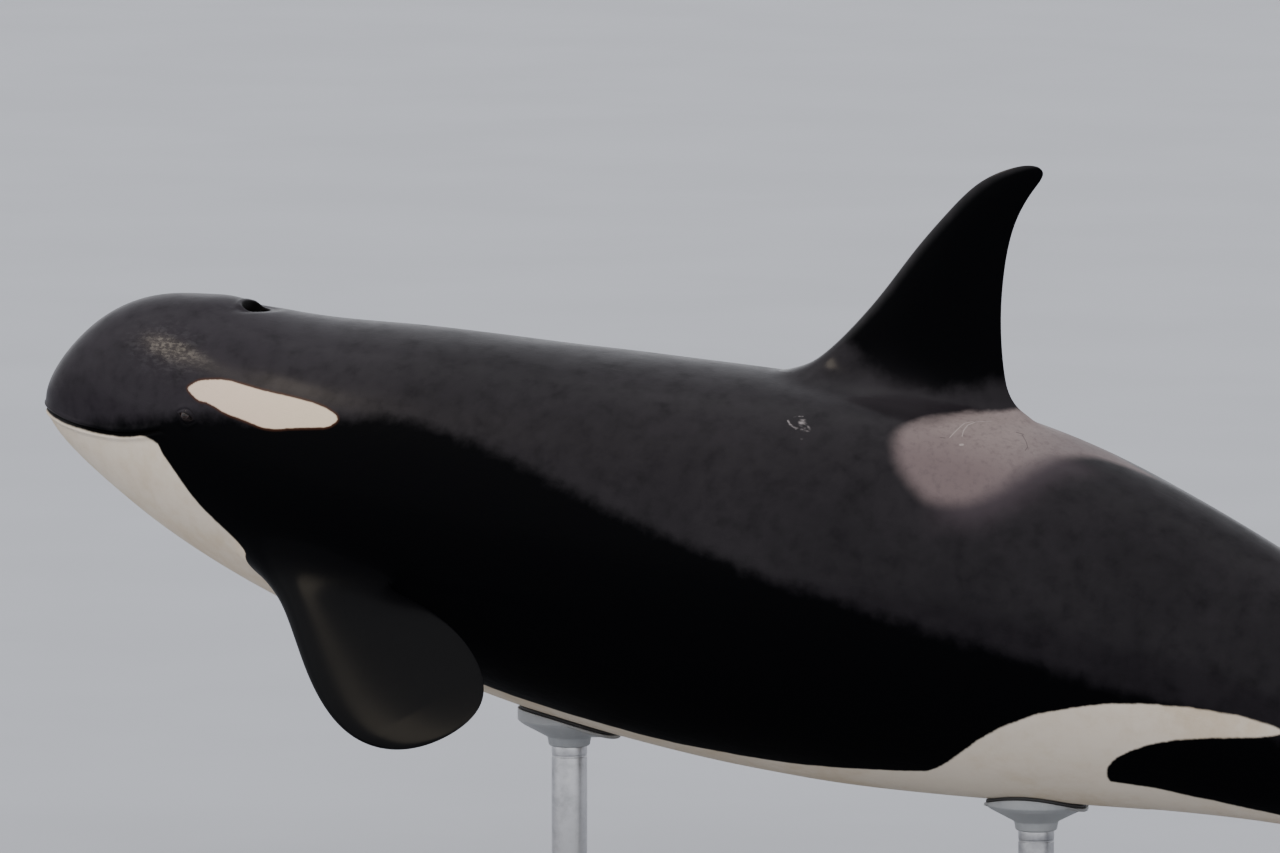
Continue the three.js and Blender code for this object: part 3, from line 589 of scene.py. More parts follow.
lineSlant = 0.8  # the sides slope, so a step in turn or level is a little less along the skin


def roundedOutline(outline, steps=6):
    corners = np.array(outline, float)
    before, after, beyond = np.roll(corners, 1, 0), np.roll(corners, -1, 0), np.roll(corners, -2, 0)
    t = (np.arange(steps) / steps)[:, None, None]
    square, cube = 2 * before - 5 * corners + 4 * after - beyond, 3 * corners - before - 3 * after + beyond
    curve = 0.5 * (2 * corners + (after - before) * t + square * t ** 2 + cube * t ** 3)
    return curve.transpose(1, 0, 2).reshape(-1, 2)


# Signed distance in mm to a closed outline, positive inside. Its points are (percent, radians).
def outlineEdge(s, turn, radius, outline, limit):
    place, low, high = s * 100, outline.min(0), outline.max(0)
    edge = np.full(len(s), -limit)  # whole mm are fine enough
    near = (place > low[0] - 4) & (place < high[0] + 4) & (turn > low[1] - 0.5) & (turn < high[1] + 0.5)
    px, py, reach = place[near] * percentMm, turn[near], radius[near]
    best, inside = np.full(len(px), float(limit ** 2)), np.zeros(len(px), bool)
    for (ax, ay), (bx, by) in zip(outline, np.roll(outline, -1, 0)):
        ax, bx = ax * percentMm, bx * percentMm
        dx, dy = bx - ax, (by - ay) * reach
        qx, qy = px - ax, (py - ay) * reach
        t = np.clip((qx * dx + qy * dy) / (dx * dx + dy * dy + 1e-9), 0, 1)
        best = np.minimum(best, (qx - t * dx) ** 2 + (qy - t * dy) ** 2)
        if ay != by:
            crosses = (ay > py) != (by > py)
            inside ^= crosses & (px < (bx - ax) * (py - ay) / (by - ay) + ax)
    edge[near] = np.where(inside, 1, -1) * np.sqrt(best)
    return edge


def alongLine(s, line):
    return np.interp(s * 100, *np.array(line, float).T)


def bandEdge(s, turn, radius, line):
    return (turn - np.radians(alongLine(s, line))) * radius * lineSlant


def storeField(mesh, name, values):
    values = np.asarray(values, np.float32)
    kind, label = ("FLOAT", "value") if values.ndim == 1 else ("FLOAT_VECTOR", "vector")
    mesh.attributes.new(name, kind, "POINT").data.foreach_set(label, values.ravel())


# Where the fields hold, as shares of the length, and their sizes in mm.
fieldForm = {
    "dorsal": (0.36, 0.54), "dorsalLevel": 8.6, "flipper": (0.1, 0.45), "stock": 0.86, "fluke": 0.9,
    "flukeWide": 1.2, "chin": 9, "jaw": (0.070, 0.086), "flipperWhite": (60, 3), "flukeBorder": 34,
    "flukeTip": 40, "tongue": (0.912, 170, 400),  # its end, how far out it reaches and its bluntness
    "finDark": 12, "finFront": 26, "flipperDark": 30,
    "tailDark": (0.85, 450), "tailLead": (0.8, 43), "flipperLead": ((5, 99), (46, 34)),
    "limit": 250, "deep": 120,
}


# The white inside the dark border of each fluke's underside, which ends in a tongue under the stock.
def flukeWhite(mesh, points, s, across):
    form = fieldForm
    height = np.abs(across) * bodyMm
    front, rear = finEdges(fluke)(np.clip(height, 0, flukeSpan))[:2]
    forward = (math.cos(flukePitch), 0, -math.sin(flukePitch))
    along = ((points - offset - flukeCentre) * forward).sum(1) * 1000 + fluke["frame"] * bodyMm
    border = np.minimum(along - front, rear - along) * 0.75 - form["flukeBorder"]
    inner = np.minimum(np.minimum(border, (flukeSpan - height) * 0.6 - form["flukeTip"]), 100)
    start, wide, bluntness = form["tongue"]
    inner = np.minimum(inner, (s - start) * bodyMm - np.minimum(height, wide) ** 2 / bluntness)
    below = readAll(mesh.vertex_normals, "vector", 3, np.float32)[:, 2] < -0.3
    return np.where(below & (s > form["fluke"]), inner, -60)


def storeFields(body):
    form, mesh = fieldForm, body.data
    points, limit = readAll(mesh.vertices, "co", 3), form["limit"]
    s, across, up = straight(points)
    out, turn, away = roundTheBody(s, across, up)
    top, bottom, _, halfWidth, _ = sectionAt(np.clip(s, 1e-6, bodyShape["end"]))
    radius = np.sqrt(np.maximum(halfWidth * (top - bottom) / 2, 1e-5)) * bodyMm
    level, away = up * 100, away * 1000
    dorsal, onDorsalPart = finForms["dorsal"], (s > form["dorsal"][0]) & (s < form["dorsal"][1])
    onFlipper = np.where((s > form["flipper"][0]) & (s < form["flipper"][1]) & (up < 0), away, 0)
    isFluke = (s > form["fluke"]) & (np.abs(across) > halfWidth * form["flukeWide"])
    patch = np.array(roundedOutline(markings["eyePatch"]))
    patch[:, 1] = turnAt(patch[:, 0], patch[:, 1])
    saddle, lobe = (roundedOutline(markings[name]) * (1, math.pi / 180) for name in ("saddle", "lobe"))
    overDark, overSaddle = (lineSlant * percentMm * (level - alongLine(s, markings[line]))
                            for line in ("finDark", "saddleTop"))
    # white below: chin under the lower lip, throat, belly, a lobe up the flank, and the flukes
    band, jaw = bandEdge(s, turn, radius, markings["white"]), -mouthEdge(s, level) - form["chin"]
    white = jaw + (band - jaw) * smooth(*form["jaw"], s)
    white = np.maximum(white, outlineEdge(s, turn, radius, lobe, 200))
    white = np.minimum(white, form["flipperWhite"][0] - form["flipperWhite"][1] * onFlipper)
    white = np.where((s > form["stock"]) | isFluke, flukeWhite(mesh, points, s, across), white)
    # deeper black low on the sides and over the fins: partly the animal's own black, partly painted shade for
    # surfaces that face sideways or down
    finHeight = np.clip((level - dorsal["base"]) * percentMm, 0, dorsal["span"] * percentMm)
    lead, onFin = s * bodyMm - finEdges(dorsal)(finHeight)[0], onDorsalPart & (level > form["dorsalLevel"])
    over = np.where(onFin, np.minimum(overDark * 0.8 - form["finDark"], lead - form["finFront"]), -limit)
    dark = np.maximum(bandEdge(s, turn, radius, markings["dark"]), over)
    dark = np.maximum(dark, np.minimum(2 * onFlipper - form["flipperDark"], form["deep"]))
    dark = np.maximum(dark, np.clip((s - form["tailDark"][0]) * form["tailDark"][1], -40, form["deep"]))
    # distance from the fins' front edges, where the wet skin glints
    tail, tailLead = form["tailLead"]
    otherFin = np.where(s > tail, tailLead, np.interp(onFlipper, *form["flipperLead"]))
    finHigh = (up - backAt(np.clip(s, 0, bodyShape["end"]))) * bodyMm
    u, v, lid = eyeEdge(s, level)
    mouth = np.where((s < 0.1) & (out > 0.5), mouthEdge(s, level), 200)
    onTop = (turn < blowholeForm["turnEnd"]) & (s < blowholeForm["placeEnd"])
    hole = np.where(onTop, blowholeEdge(s, np.abs(across))[2], 400)
    for name, values in {
        "patchEdge": outlineEdge(s, turn, radius, patch, 120),
        "saddleEdge": np.minimum(outlineEdge(s, turn, radius, saddle, 200), -overSaddle),
        "whiteEdge": np.clip(white, -limit, limit),
        "darkEdge": np.clip(np.where(isFluke, form["deep"], dark), -limit, limit),
        "finLead": np.where(onFin & (finHigh > 5), lead, otherFin),
        "lidEdge": np.where((np.abs(u) < 120) & (np.abs(v) < 120), lid, 120),
        "mouthEdge": np.clip(mouth, -200, 200), "holeEdge": hole,
        "bodyPlace": np.stack([s * bodyMm, np.degrees(turn) * 10, level * percentMm], -1),
    }.items():
        storeField(mesh, name, values)
    print("fields stored")
    return s, turn, np.where(onDorsalPart & (up > 0), away, 0), onFlipper, isFluke


# A map for the bake: the body rolled out with its head enlarged, and below it each side of each fin.
unrolled = {
    "places": (-0.02, 0.18, 0.22, 0.4, 0.52, 0.6, 1.1), "weights": (2.0, 2.0, 1.0, 1.1, 1.1, 0.8, 0.8),
    "bodyFrom": 0.3, "bodyTo": 0.997, "rowHigh": 0.138, "rows": (0.006, 0.152), "gap": 0.006, "finFrom": 12,
}


def unroll(body, s, turn, onDorsal, onFlipper, isFluke):
    mesh, form = body.data, unrolled
    count, points = len(mesh.polygons), readAll(mesh.vertices, "co", 3)
    corner = readAll(mesh.loops, "vertex_index", 1, np.int32)
    starts, sizes = (readAll(mesh.polygons, name, 1, np.int32) for name in ("loop_start", "loop_total"))
    normals = readAll(mesh.polygon_normals, "vector", 3, np.float32)
    faceOf = np.repeat(np.arange(count), sizes)

    def mean(values):
        return np.add.reduceat(values[corner], starts) / sizes
    side = np.where(mean(points[:, 1]) < 0, 1, -1)  # 1 on the left
    kind = np.where(mean(onDorsal) > form["finFrom"], 1, np.where(mean(onFlipper) > form["finFrom"], 2, 0))
    kind[mean(isFluke.astype(float)) > 0.5] = 3
    table = np.linspace(s.min(), s.max(), 500)
    weight = np.interp(table, form["places"], form["weights"])
    stretch = np.concatenate([[0], np.cumsum((weight[1:] + weight[:-1]) / 2)])
    u = np.interp(s, table, stretch / stretch[-1])[corner]
    # the seam runs along the belly's middle
    low, own = (mean(turn) > 2)[faceOf], np.where(points[corner, 1] < 0, 1, -1)
    over = low & (own != side[faceOf])
    v = np.where(low, side[faceOf], own) * np.where(over, 2 * math.pi - turn[corner], turn[corner])
    start, end = form["bodyFrom"], form["bodyTo"]
    v = np.clip(start + (end - start) * (v / (2.04 * math.pi) + 0.5), start - 0.002, end + 0.001)
    uv = np.stack([u * 0.996 + 0.002, v], -1)
    islands, (x, y, z) = [[], []], np.eye(3)
    for half in (1, -1):
        flip = np.array([1, half, 1])
        rows = [(0, 1, x, z, -half * y, np.ones(count, bool))]
        for facing in (1, -1):
            rows += [(0, 2, flipperBack * flip, flipperOut * flip, facing * flipperFace * flip, side == half),
                     (1, 3, x, y, facing * z, side == half)]
        for row, which, along, across, facing, chosen in rows:
            picked = ((kind == which) & chosen & (normals @ facing >= 0))[faceOf]
            islands[row].append((picked, points[corner] @ along, points[corner] @ across))
    for row, low in zip(islands, form["rows"]):
        row = [(used, p[used], q[used]) for used, p, q in row if used.any()]
        total = sum(np.ptp(p) for _, p, _ in row)
        free, at = 1 - form["gap"] * (len(row) + 1), form["gap"]
        for used, p, q in row:
            wide = free * np.ptp(p) / total
            uv[used, 0] = at + wide * (p - p.min()) / np.ptp(p)
            uv[used, 1] = low + form["rowHigh"] * (q - q.min()) / np.ptp(q)
            at += wide + form["gap"]
    mesh.uv_layers.new(name="OFBake").data.foreach_set("uv", uv.astype(np.float32).ravel())
    print("map of", [int((kind == k).sum()) for k in range(4)], "faces")


unroll(skin, *storeFields(skin))


# A shader value with arithmetic: each operator adds one node to the value's own tree.
class Value:
    def __init__(self, socket):
        self.socket, self.tree = socket, socket.id_data

    def __add__(self, other):
        return maths("ADD", self, other)

    def __sub__(self, other):
        return maths("SUBTRACT", self, other)

    def __rsub__(self, other):
        return maths("SUBTRACT", other, self)

    def __mul__(self, other):
        return maths("MULTIPLY", self, other)


# Links a shader value to a node's input, or sets a plain one.
def setInputs(node, values):
    for name, value in values.items():
        if isinstance(value, Value):
            value.tree.links.new(value.socket, node.inputs[name])
        else:
            node.inputs[name].default_value = value


def add(tree, kind, values, **settings):
    node = tree.nodes.new(kind)
    for name, value in settings.items():
        setattr(node, name, value)
    setInputs(node, values)
    return [Value(output) for output in node.outputs]


def treeOf(values):
    return next(value.tree for value in values if isinstance(value, Value))


def maths(operation, *values, clamp=False):
    values, tree = dict(enumerate(values)), treeOf(values)
    return add(tree, "ShaderNodeMath", values, operation=operation, use_clamp=clamp)[0]


def vectorMaths(operation, *values, output=0):
    return add(treeOf(values), "ShaderNodeVectorMath", dict(enumerate(values)), operation=operation)[output]


def scaled(vector, factors):
    return vectorMaths("MULTIPLY", vector, factors)


def parts(vector):
    return add(vector.tree, "ShaderNodeSeparateXYZ", {0: vector})


def mixed(share, first, second):
    first, second = (colour if isinstance(colour, Value) else (*colour, 1) for colour in (first, second))
    return add(share.tree, "ShaderNodeMix", {0: share, 6: first, 7: second}, data_type="RGBA")[2]


def noise(tree, scale, detail, rough, vector=None, distortion=0.0):
    values = {"Scale": scale, "Detail": detail, "Roughness": rough, "Distortion": distortion}
    if vector:
        values["Vector"] = vector
    return add(tree, "ShaderNodeTexNoise", values)[0]


# Goes smoothly from one value to another while the input crosses a span.
def ranged(value, span, to=(0.0, 1.0)):
    values = {0: value, 1: span[0], 2: span[1], 3: to[0], 4: to[1]}
    return add(value.tree, "ShaderNodeMapRange", values, interpolation_type="SMOOTHSTEP")[0]


def field(tree, name):
    return add(tree, "ShaderNodeAttribute", {}, attribute_name=name)[2]  # its value


def vectorField(tree, name):
    return add(tree, "ShaderNodeAttribute", {}, attribute_name=name)[1]  # its vector


def objectPlace(tree):
    return add(tree, "ShaderNodeTexCoord", {})[3]  # metres, on the object itself


# A shared effect; its inputs are vectors or plain values by the kind of their starts.
def group(name, build, outputs, **inputs):
    tree = bpy.data.node_groups.new(name, "ShaderNodeTree")
    for label, start in inputs.items():
        kind = "NodeSocketVector" if isinstance(start, tuple) else "NodeSocketFloat"
        tree.interface.new_socket(label, in_out="INPUT", socket_type=kind).default_value = start
    for label in outputs:
        tree.interface.new_socket(label, in_out="OUTPUT", socket_type="NodeSocketFloat")
    given, leave = tree.nodes.new("NodeGroupInput"), tree.nodes.new("NodeGroupOutput")
    results = build(tree, {label: Value(given.outputs[label]) for label in inputs})
    setInputs(leave, dict(enumerate(results)))
    return tree


def use(tree, shared, **values):
    return add(tree, "ShaderNodeGroup", values, node_tree=shared)


# A mask from a signed distance in mm, with a soft and ragged edge.
def buildEdge(tree, given):
    ragged = noise(tree, given["Scale"], 6.0, 0.62, objectPlace(tree))
    moved = (ragged - 0.5) * given["Ragged"] + given["Distance"]
    return [ranged(moved, (given["Soft"] * -1.0, given["Soft"]))]


# A straight scratch between two points of the body's own map.
def buildStroke(tree, given):
    fromStart = vectorMaths("SUBTRACT", given["Point"], given["Start"])
    line = vectorMaths("SUBTRACT", given["End"], given["Start"])
    dot, size = (vectorMaths("DOT_PRODUCT", vector, line, output=1) for vector in (fromStart, line))
    share = maths("DIVIDE", dot, size, clamp=True)
    nearest = add(tree, "ShaderNodeVectorMath", {0: line, 3: share}, operation="SCALE")
    away = vectorMaths("LENGTH", vectorMaths("SUBTRACT", fromStart, nearest[0]), output=1)
    return [1.0 - ranged(away, (given["Width"] * 0.3, given["Width"]))]


# Uneven tone at two sizes, about 0.5.
def buildBlotch(tree, given):
    large = noise(tree, given["Scale"], 3.0, 0.5, objectPlace(tree))
    small = noise(tree, given["Scale"] * 9.0, 5.0, 0.65, objectPlace(tree))
    return [large * 0.65 + small * 0.35]


edgeGroup = group("SoftEdge", buildEdge, ["Mask"], Distance=0.0, Soft=5.0, Ragged=4.0, Scale=30.0)
strokeGroup = group("Stroke", buildStroke, ["Mask"], Point=(0, 0, 0), Start=(0, 0, 0), End=(1, 0, 0),
                    Width=3.0)
blotchGroup = group("Blotch", buildBlotch, ["Tone"], Scale=3.0)


# Feeds the shader's inputs, whose names have _ for a space.
def feed(shader, **values):
    setInputs(shader, {name.replace("_", " "): value for name, value in values.items()})


def material(name, **settings):
    made = bpy.data.materials.new(name)
    made.use_nodes = True
    shader = made.node_tree.nodes["Principled BSDF"]
    feed(shader, **settings)
    return made, made.node_tree, shader


def bumped(height, strength, depth):
    return add(height.tree, "ShaderNodeBump", {"Strength": strength, "Distance": depth, "Height": height})[0]


# Colours are linear. Marks are (start, end, width in mm), each end as (place, turn in degrees).
skinColours = {
    "back": (0.0084, 0.0071, 0.0086), "backWorn": (0.0136, 0.0115, 0.0134), "crown": (0.0205, 0.0172, 0.0215),
    # the black is the animal's own black and, low on the sides and on the fins, painted shade
    # the fin-foot colour is painted light at the foot of the dorsal fin
    "black": (0.0014, 0.0014, 0.0018), "finFootPaintedLight": (0.0165, 0.0145, 0.0165),
    "patch": (0.58, 0.455, 0.36), "patchRear": (0.56, 0.455, 0.345), "rim": (0.045, 0.017, 0.009),
    "white": (0.60, 0.53, 0.44), "whiteWarm": (0.52, 0.43, 0.32),
    "saddle": (0.178, 0.145, 0.139), "saddleLow": (0.112, 0.086, 0.086), "saddleRear": (0.125, 0.105, 0.106),
    "saddleDark": (0.055, 0.042, 0.046), "underSaddle": (0.038, 0.029, 0.034), "scar": (0.30, 0.27, 0.27),
    # the hole and lid colours are near-black painted shade for the openings
    "hole": (0.0015, 0.0012, 0.0012), "lid": (0.008, 0.006, 0.006), "scratch": (0.30, 0.265, 0.25),
}
# The distance that an edge is moved out, its softness, its raggedness and the scale of that.
skinEdges = {
    "dark": (12, 26, 60, 16), "underSaddle": (70, 70, 60, 9), "white": (0, 4, 14, 9), "rim": (6, 5, 5, 16),
    "patch": (0, 2.6, 4, 16),
}
# Spans in mm along the body, or in tenths of a degree round it where the name says turn.
skinSpans = {
    "worn": (3600, 1900), "crown": (1350, 500), "paintedLightTurn": (20, 110), "paintedLightFront": (2560, 2660),
    "paintedLightRear": (2960, 2800), "underFrom": (2950, 3150), "underTurn": (130, 250), "saddleLowTurn": (180, 420),
    "saddleRear": (3080, 3350), "saddleSoftTurn": (60, 330), "saddleSoft": (3120, 3260),
    "patchRear": (650, 1080), "mouthEnd": (480, 540),
}
skinGloss = {
    "back": 0.5, "finEdge": 0.8, "pale": -0.6, "least": 0.03, "glint": (460, 535, 0), "glintReach": (30, 230),
    "glintRipple": (-0.10, 0.80), "rough": 0.34, "roughSpread": 0.16, "roughPale": 0.10,
}
skinMarks = {
    "scratch": [((48.03, 27.73), (48.13, 23.0), 2.2), ((48.13, 23.0), (48.23, 18.26), 2.0),
                ((48.23, 18.26), (48.53, 15.56), 1.7), ((48.53, 25.7), (48.43, 22.77), 1.8),
                ((48.43, 22.77), (48.43, 18.94), 2.4), ((48.43, 18.94), (48.63, 15.56), 2.4),
                ((48.63, 15.56), (49.23, 11.5), 1.8), ((48.70, 29.9), (48.76, 29.6), 7.0)],
    "dark": [((50.63, 13.98), (50.93, 13.75), 5.0), ((50.93, 14.43), (51.33, 18.26), 2.2),
             ((51.33, 18.26), (51.53, 20.97), 2.2), ((51.53, 20.97), (51.53, 23.22), 2.0),
             ((47.63, 28.86), (47.83, 28.63), 3.0)],
    "scar": [((40.14, 33.6), (40.34, 35.2), 4.0), ((40.34, 35.2), (40.74, 36.5), 4.5),
             ((40.74, 36.5), (40.84, 35.8), 5.0), ((40.84, 33.1), (41.14, 36.1), 15.0),
             ((41.14, 34.9), (41.34, 36.3), 11.0), ((40.34, 31.8), (40.54, 31.1), 3.0),
             ((40.54, 31.1), (40.74, 30.9), 3.0), ((41.24, 40.4), (41.27, 40.3), 5.0)],
}


# The bodyPlace field is mm along, tenths of a degree round the body, and mm up.
def markMask(flat, marks, onLeft):
    total = None
    for *ends, width in marks:
        start, end = ((s * percentMm, turn * 9.5, 0.0) for s, turn in ends)
        mask = use(flat.tree, strokeGroup, Point=flat, Start=start, End=end, Width=width)[0]
        total = maths("MAXIMUM", total, mask) if total else mask
    return total * onLeft


def edgeMask(distance, name):
    out, soft, ragged, scale = skinEdges[name]
    distance = distance + out if out else distance
    return use(distance.tree, edgeGroup, Distance=distance, Soft=soft, Ragged=ragged, Scale=scale)[0]


def skinMaterial():
    made, tree, shader = material("wetSkin", Coat_Roughness=0.2, Coat_IOR=1.22, IOR=1.4,
                                  Specular_IOR_Level=0.012)
    colours, spans, gloss = skinColours, skinSpans, skinGloss
    place, bodyPlace = objectPlace(tree), vectorField(tree, "bodyPlace")
    along, turn = parts(bodyPlace)[:2]
    onLeft = maths("LESS_THAN", parts(place)[1], 0.0)
    wide, fine = (use(tree, blotchGroup, Scale=scale)[0] for scale in (2.2, 14.0))
    edges = {name: field(tree, name + "Edge")
             for name in ("dark", "saddle", "white", "patch", "mouth", "hole", "lid")}
    # dark skin: greyer over the back, deep black low on the sides and on the fins; the deep black is partly the
    # animal's own and partly painted shade where the skin faces sideways or down
    blackAndShadeMask = edgeMask(edges["dark"], "dark")
    worn = ranged(along, spans["worn"]) * 0.45 + ranged(wide, (0.38, 0.62), (0.0, 0.55))
    back = mixed(worn, colours["back"], colours["backWorn"])
    back = mixed(ranged(along, spans["crown"], (0.0, 0.7)), back, colours["crown"])
    colour = mixed(blackAndShadeMask, back, colours["black"])
    # painted light: a lighter band on the flank at the foot of the dorsal fin, lifting the fin's shade and dark
    # reflection there
    foot = 1.0 - ranged(maths("ABSOLUTE", turn - 140.0), spans["paintedLightTurn"])
    foot = foot * (ranged(along, spans["paintedLightFront"]) * ranged(along, spans["paintedLightRear"]))
    colour = mixed(foot, colour, colours["finFootPaintedLight"])
    # darker, brownish skin round the lower rear of the saddle, then the saddle
    under = edgeMask(edges["saddle"], "underSaddle")
    under = under * (ranged(along, spans["underFrom"]) * ranged(turn, spans["underTurn"]))
    colour = mixed(under * 0.9, colour, colours["underSaddle"])
    saddle = mixed(ranged(turn, spans["saddleLowTurn"]), colours["saddle"], colours["saddleLow"])
    saddle = mixed(ranged(along, spans["saddleRear"]), saddle, colours["saddleRear"])
    mottle = noise(tree, 46.0, 6.0, 0.7, scaled(place, (1.0, 1.0, 0.55)))
    saddle = mixed(ranged(fine, (0.3, 0.72), (0.0, 0.4)), saddle, colours["saddleLow"])
    saddle = mixed(ranged(mottle, (0.45, 0.75), (0.0, 0.4)), saddle, colours["saddleDark"])
    softness = ranged(turn, spans["saddleSoftTurn"], (8.0, 34.0))
    softness = softness + ranged(along, spans["saddleSoft"], (0.0, 16.0))
    saddleMask = use(tree, edgeGroup, Distance=edges["saddle"], Soft=softness, Ragged=16.0, Scale=22.0)[0]
    colour = mixed(saddleMask, colour, saddle)
    # pale and dark scratches and a scar, on the left side
    flat = scaled(bodyPlace, (1.0, 0.95, 0.0))
    broken = ranged(noise(tree, 150.0, 5.0, 0.7), (0.40, 0.64))
    colour = mixed(markMask(flat, skinMarks["scratch"], onLeft) * 0.6, colour, colours["scratch"])
    colour = mixed(markMask(flat, skinMarks["dark"], onLeft) * 0.42, colour, colours["back"])
    colour = mixed(markMask(flat, skinMarks["scar"], onLeft) * broken * 0.6, colour, colours["scar"])
    # white below, with a warm stain, and the eye patches with their brown rim
    whiteMask = edgeMask(edges["white"], "white")
    white = mixed(ranged(wide, (0.4, 0.66)), colours["white"], colours["whiteWarm"])
    colour = mixed(whiteMask, colour, white)
    colour = mixed(edgeMask(edges["patch"], "rim") * 0.8, colour, colours["rim"])
    patchMask = edgeMask(edges["patch"], "patch")
    patch = mixed(ranged(along, spans["patchRear"]), colours["patch"], colours["patchRear"])
    patch = mixed(ranged(fine, (0.35, 0.7), (0.0, 0.25)), patch, colours["whiteWarm"])
    colour = mixed(patchMask, colour, patch)
    # openings: mouth line, blowhole and lids, painted near-black as painted shade in these gaps and hollows
    gape = 1.0 - ranged(maths("ABSOLUTE", edges["mouth"]), (1.5, 5.0))
    gape = gape * (1.0 - ranged(along, spans["mouthEnd"]))
    holeMask, lidMask = 1.0 - ranged(edges["hole"], (-2.0, 4.0)), 1.0 - ranged(edges["lid"], (1.0, 9.0))
    for mask, name in ((gape, "hole"), (holeMask, "hole"), (lidMask, "lid")):
        colour = mixed(mask, colour, colours[name])
    # gloss: wet over the back and along the fins' front edges, duller where it is deep black (own black and
    # painted shade)
    pale = maths("MAXIMUM", maths("MAXIMUM", saddleMask, whiteMask), patchMask)
    lead = 1.0 - ranged(field(tree, "finLead"), (10.0, 45.0))
    coat = maths("MAXIMUM", (1.0 - blackAndShadeMask) * gloss["back"], lead * gloss["finEdge"])
    coat = coat * (pale * gloss["pale"] + 1.0) * ranged(wide, (0.3, 0.6), (0.88, 1.0))
    # a rippled glint on the melon
    fromGlint = vectorMaths("SUBTRACT", scaled(bodyPlace, (1.0, 1.0, 0.0)), gloss["glint"])
    melon = 1.0 - ranged(vectorMaths("LENGTH", fromGlint, output=1), gloss["glintReach"])
    ripple = noise(tree, 60.0, 4.0, 0.6, scaled(place, (0.7, 0.7, 1.5)), 0.6)
    coat = coat + melon * ranged(ripple, (0.43, 0.64), gloss["glintRipple"])
    # relief: fine grain, shallow dimples and long faint rakes
    rake = ranged(noise(tree, 1.0, 3.0, 0.5, scaled(bodyPlace, (0.004, 0.11, 0.0))), (0.60, 0.66))
    grain, dimple = noise(tree, 420.0, 3.0, 0.6, place), noise(tree, 34.0, 4.0, 0.55, place)
    height = grain * 0.10 + dimple * 0.9 + rake * -0.15 + gape * -2.0 + ripple * melon * 0.8
    rough = pale * gloss["roughPale"] + (fine * gloss["roughSpread"] + gloss["rough"])
    feed(shader, Base_Color=colour, Roughness=rough,
         Coat_Weight=coat * (1.0 - holeMask) + gloss["least"], Normal=bumped(height, 0.5, 0.0022))
    return made


skin.data.materials.clear()
skin.data.materials.append(skinMaterial())
print("skin material made")


# Puts a piece on the model's one body and hides the nodes that it replaces.
def finishPiece(piece, slot, *nodes):
    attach(piece, "root")
    if nodes:
        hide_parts(*nodes)


# The eyes: a ball with a domed cornea, looking out along the skin's normal. Sizes in mm and degrees.
eyeLook = {
    "dome": 1.1, "domeWidth": 17.0, "rows": 64, "columns": 96, "pupil": (9.5, 7.5), "ring": (22.0, 27.0),
    "white": (26.0, 30.0), "slit": (0.55, 1.1),
}
eyeColours = {
    "pupil": (0.002, 0.002, 0.003), "iris": (0.020, 0.009, 0.005), "irisDark": (0.008, 0.004, 0.003),
    "ring": (0.008, 0.009, 0.012), "white": (0.035, 0.020, 0.018),
}


def eyeMaterial():
    made, tree, shader = material("wetEye", Roughness=0.12, Coat_Weight=0.3, Coat_Roughness=0.03, IOR=1.38,
                                  Specular_IOR_Level=0.2)
    eyePlace = vectorField(tree, "eyePlace")  # degrees from the gaze, turn about it, and size of the slit
    polar, _, slit = parts(eyePlace)
    fibre = noise(tree, 1.0, 4.0, 0.6, scaled(eyePlace, (0.05, 9.0, 0.0)))
    colour = mixed(ranged(fibre, (0.35, 0.65)), eyeColours["iris"], eyeColours["irisDark"])
    for value, name in ((polar, "ring"), (polar, "white"), (slit, "pupil")):
        colour = mixed(ranged(value, eyeLook[name]), colour, eyeColours[name])
    feed(shader, Base_Color=colour, Normal=bumped(noise(tree, 300.0, 2.0, 0.55), 0.15, 0.0004))
    return made


def makeEye(name, side, node, look):
    gaze = skinNormal(np.array(math.sqrt(eyeForm["place"] / 100)), turnAt(eyeForm["place"], eyeForm["level"]))
    right = np.cross((0, 0, 1), gaze)
    right /= np.linalg.norm(right)
    rows, columns = eyeLook["rows"], eyeLook["columns"]
    turns = 2 * math.pi * np.arange(columns) / columns
    polar, turn = np.meshgrid(np.linspace(0.01, math.pi - 0.01, rows), turns, indexing="ij")
    dome = eyeLook["dome"] / 1000
    size = eyeForm["radius"] + dome * bell(np.degrees(polar), eyeLook["domeWidth"])
    local = np.stack([np.sin(polar) * np.cos(turn), np.sin(polar) * np.sin(turn), np.cos(polar)], -1)
    points = (local @ np.stack([right, np.cross(gaze, right), gaze]) * size[..., None]).reshape(-1, 3)
    poles = [gaze * (eyeForm["radius"] + dome), -gaze * eyeForm["radius"]]
    points = (np.concatenate([points, poles]) + eyeCentre) * (1, side, 1) + offset
    turned = slice(None, None, -1 if side > 0 else 1)
    eye = meshFrom(name, points, gridFaces(0, rows, columns)[:, turned], endFans(rows, columns)[:, turned])
    slit = np.hypot(*(local[..., :2] * eyeLook["slit"]).transpose(2, 0, 1)) * eyeForm["radius"] * 2500
    place = np.stack([np.degrees(polar), turn, slit], -1).reshape(-1, 3)
    storeField(eye.data, "eyePlace", np.concatenate([place, [(0, 0, 0), (180, 0, 90)]]))
    eye.data.materials.append(look)
    finishPiece(eye, "eye", node)


wetEye = eyeMaterial()
makeEye("eyeLeft", 1, "eye_left", wetEye)
makeEye("eyeRight", -1, "eye_right", wetEye)
print("eyes made")

# The stand: base plate, rods, bolted collars and cradles with rubber pads, placed by the model's own boxes.
standForm = {
    "corner": 0.090, "edge": 0.004, "lip": 0.001, "segments": 96, "rodRadius": 0.055,
    "grooves": (0.075, 0.03),  # from the rod's foot and from its head
    "groove": ((-0.004, 0), (-0.003, 0.0012), (0.003, 0.0012), (0.004, 0)),  # height, depth
    "boltCircle": 0.134, "bolts": 6, "boltLevel": 0.0208, "cupGap": 0.023, "cupFrom": 0.07,
}
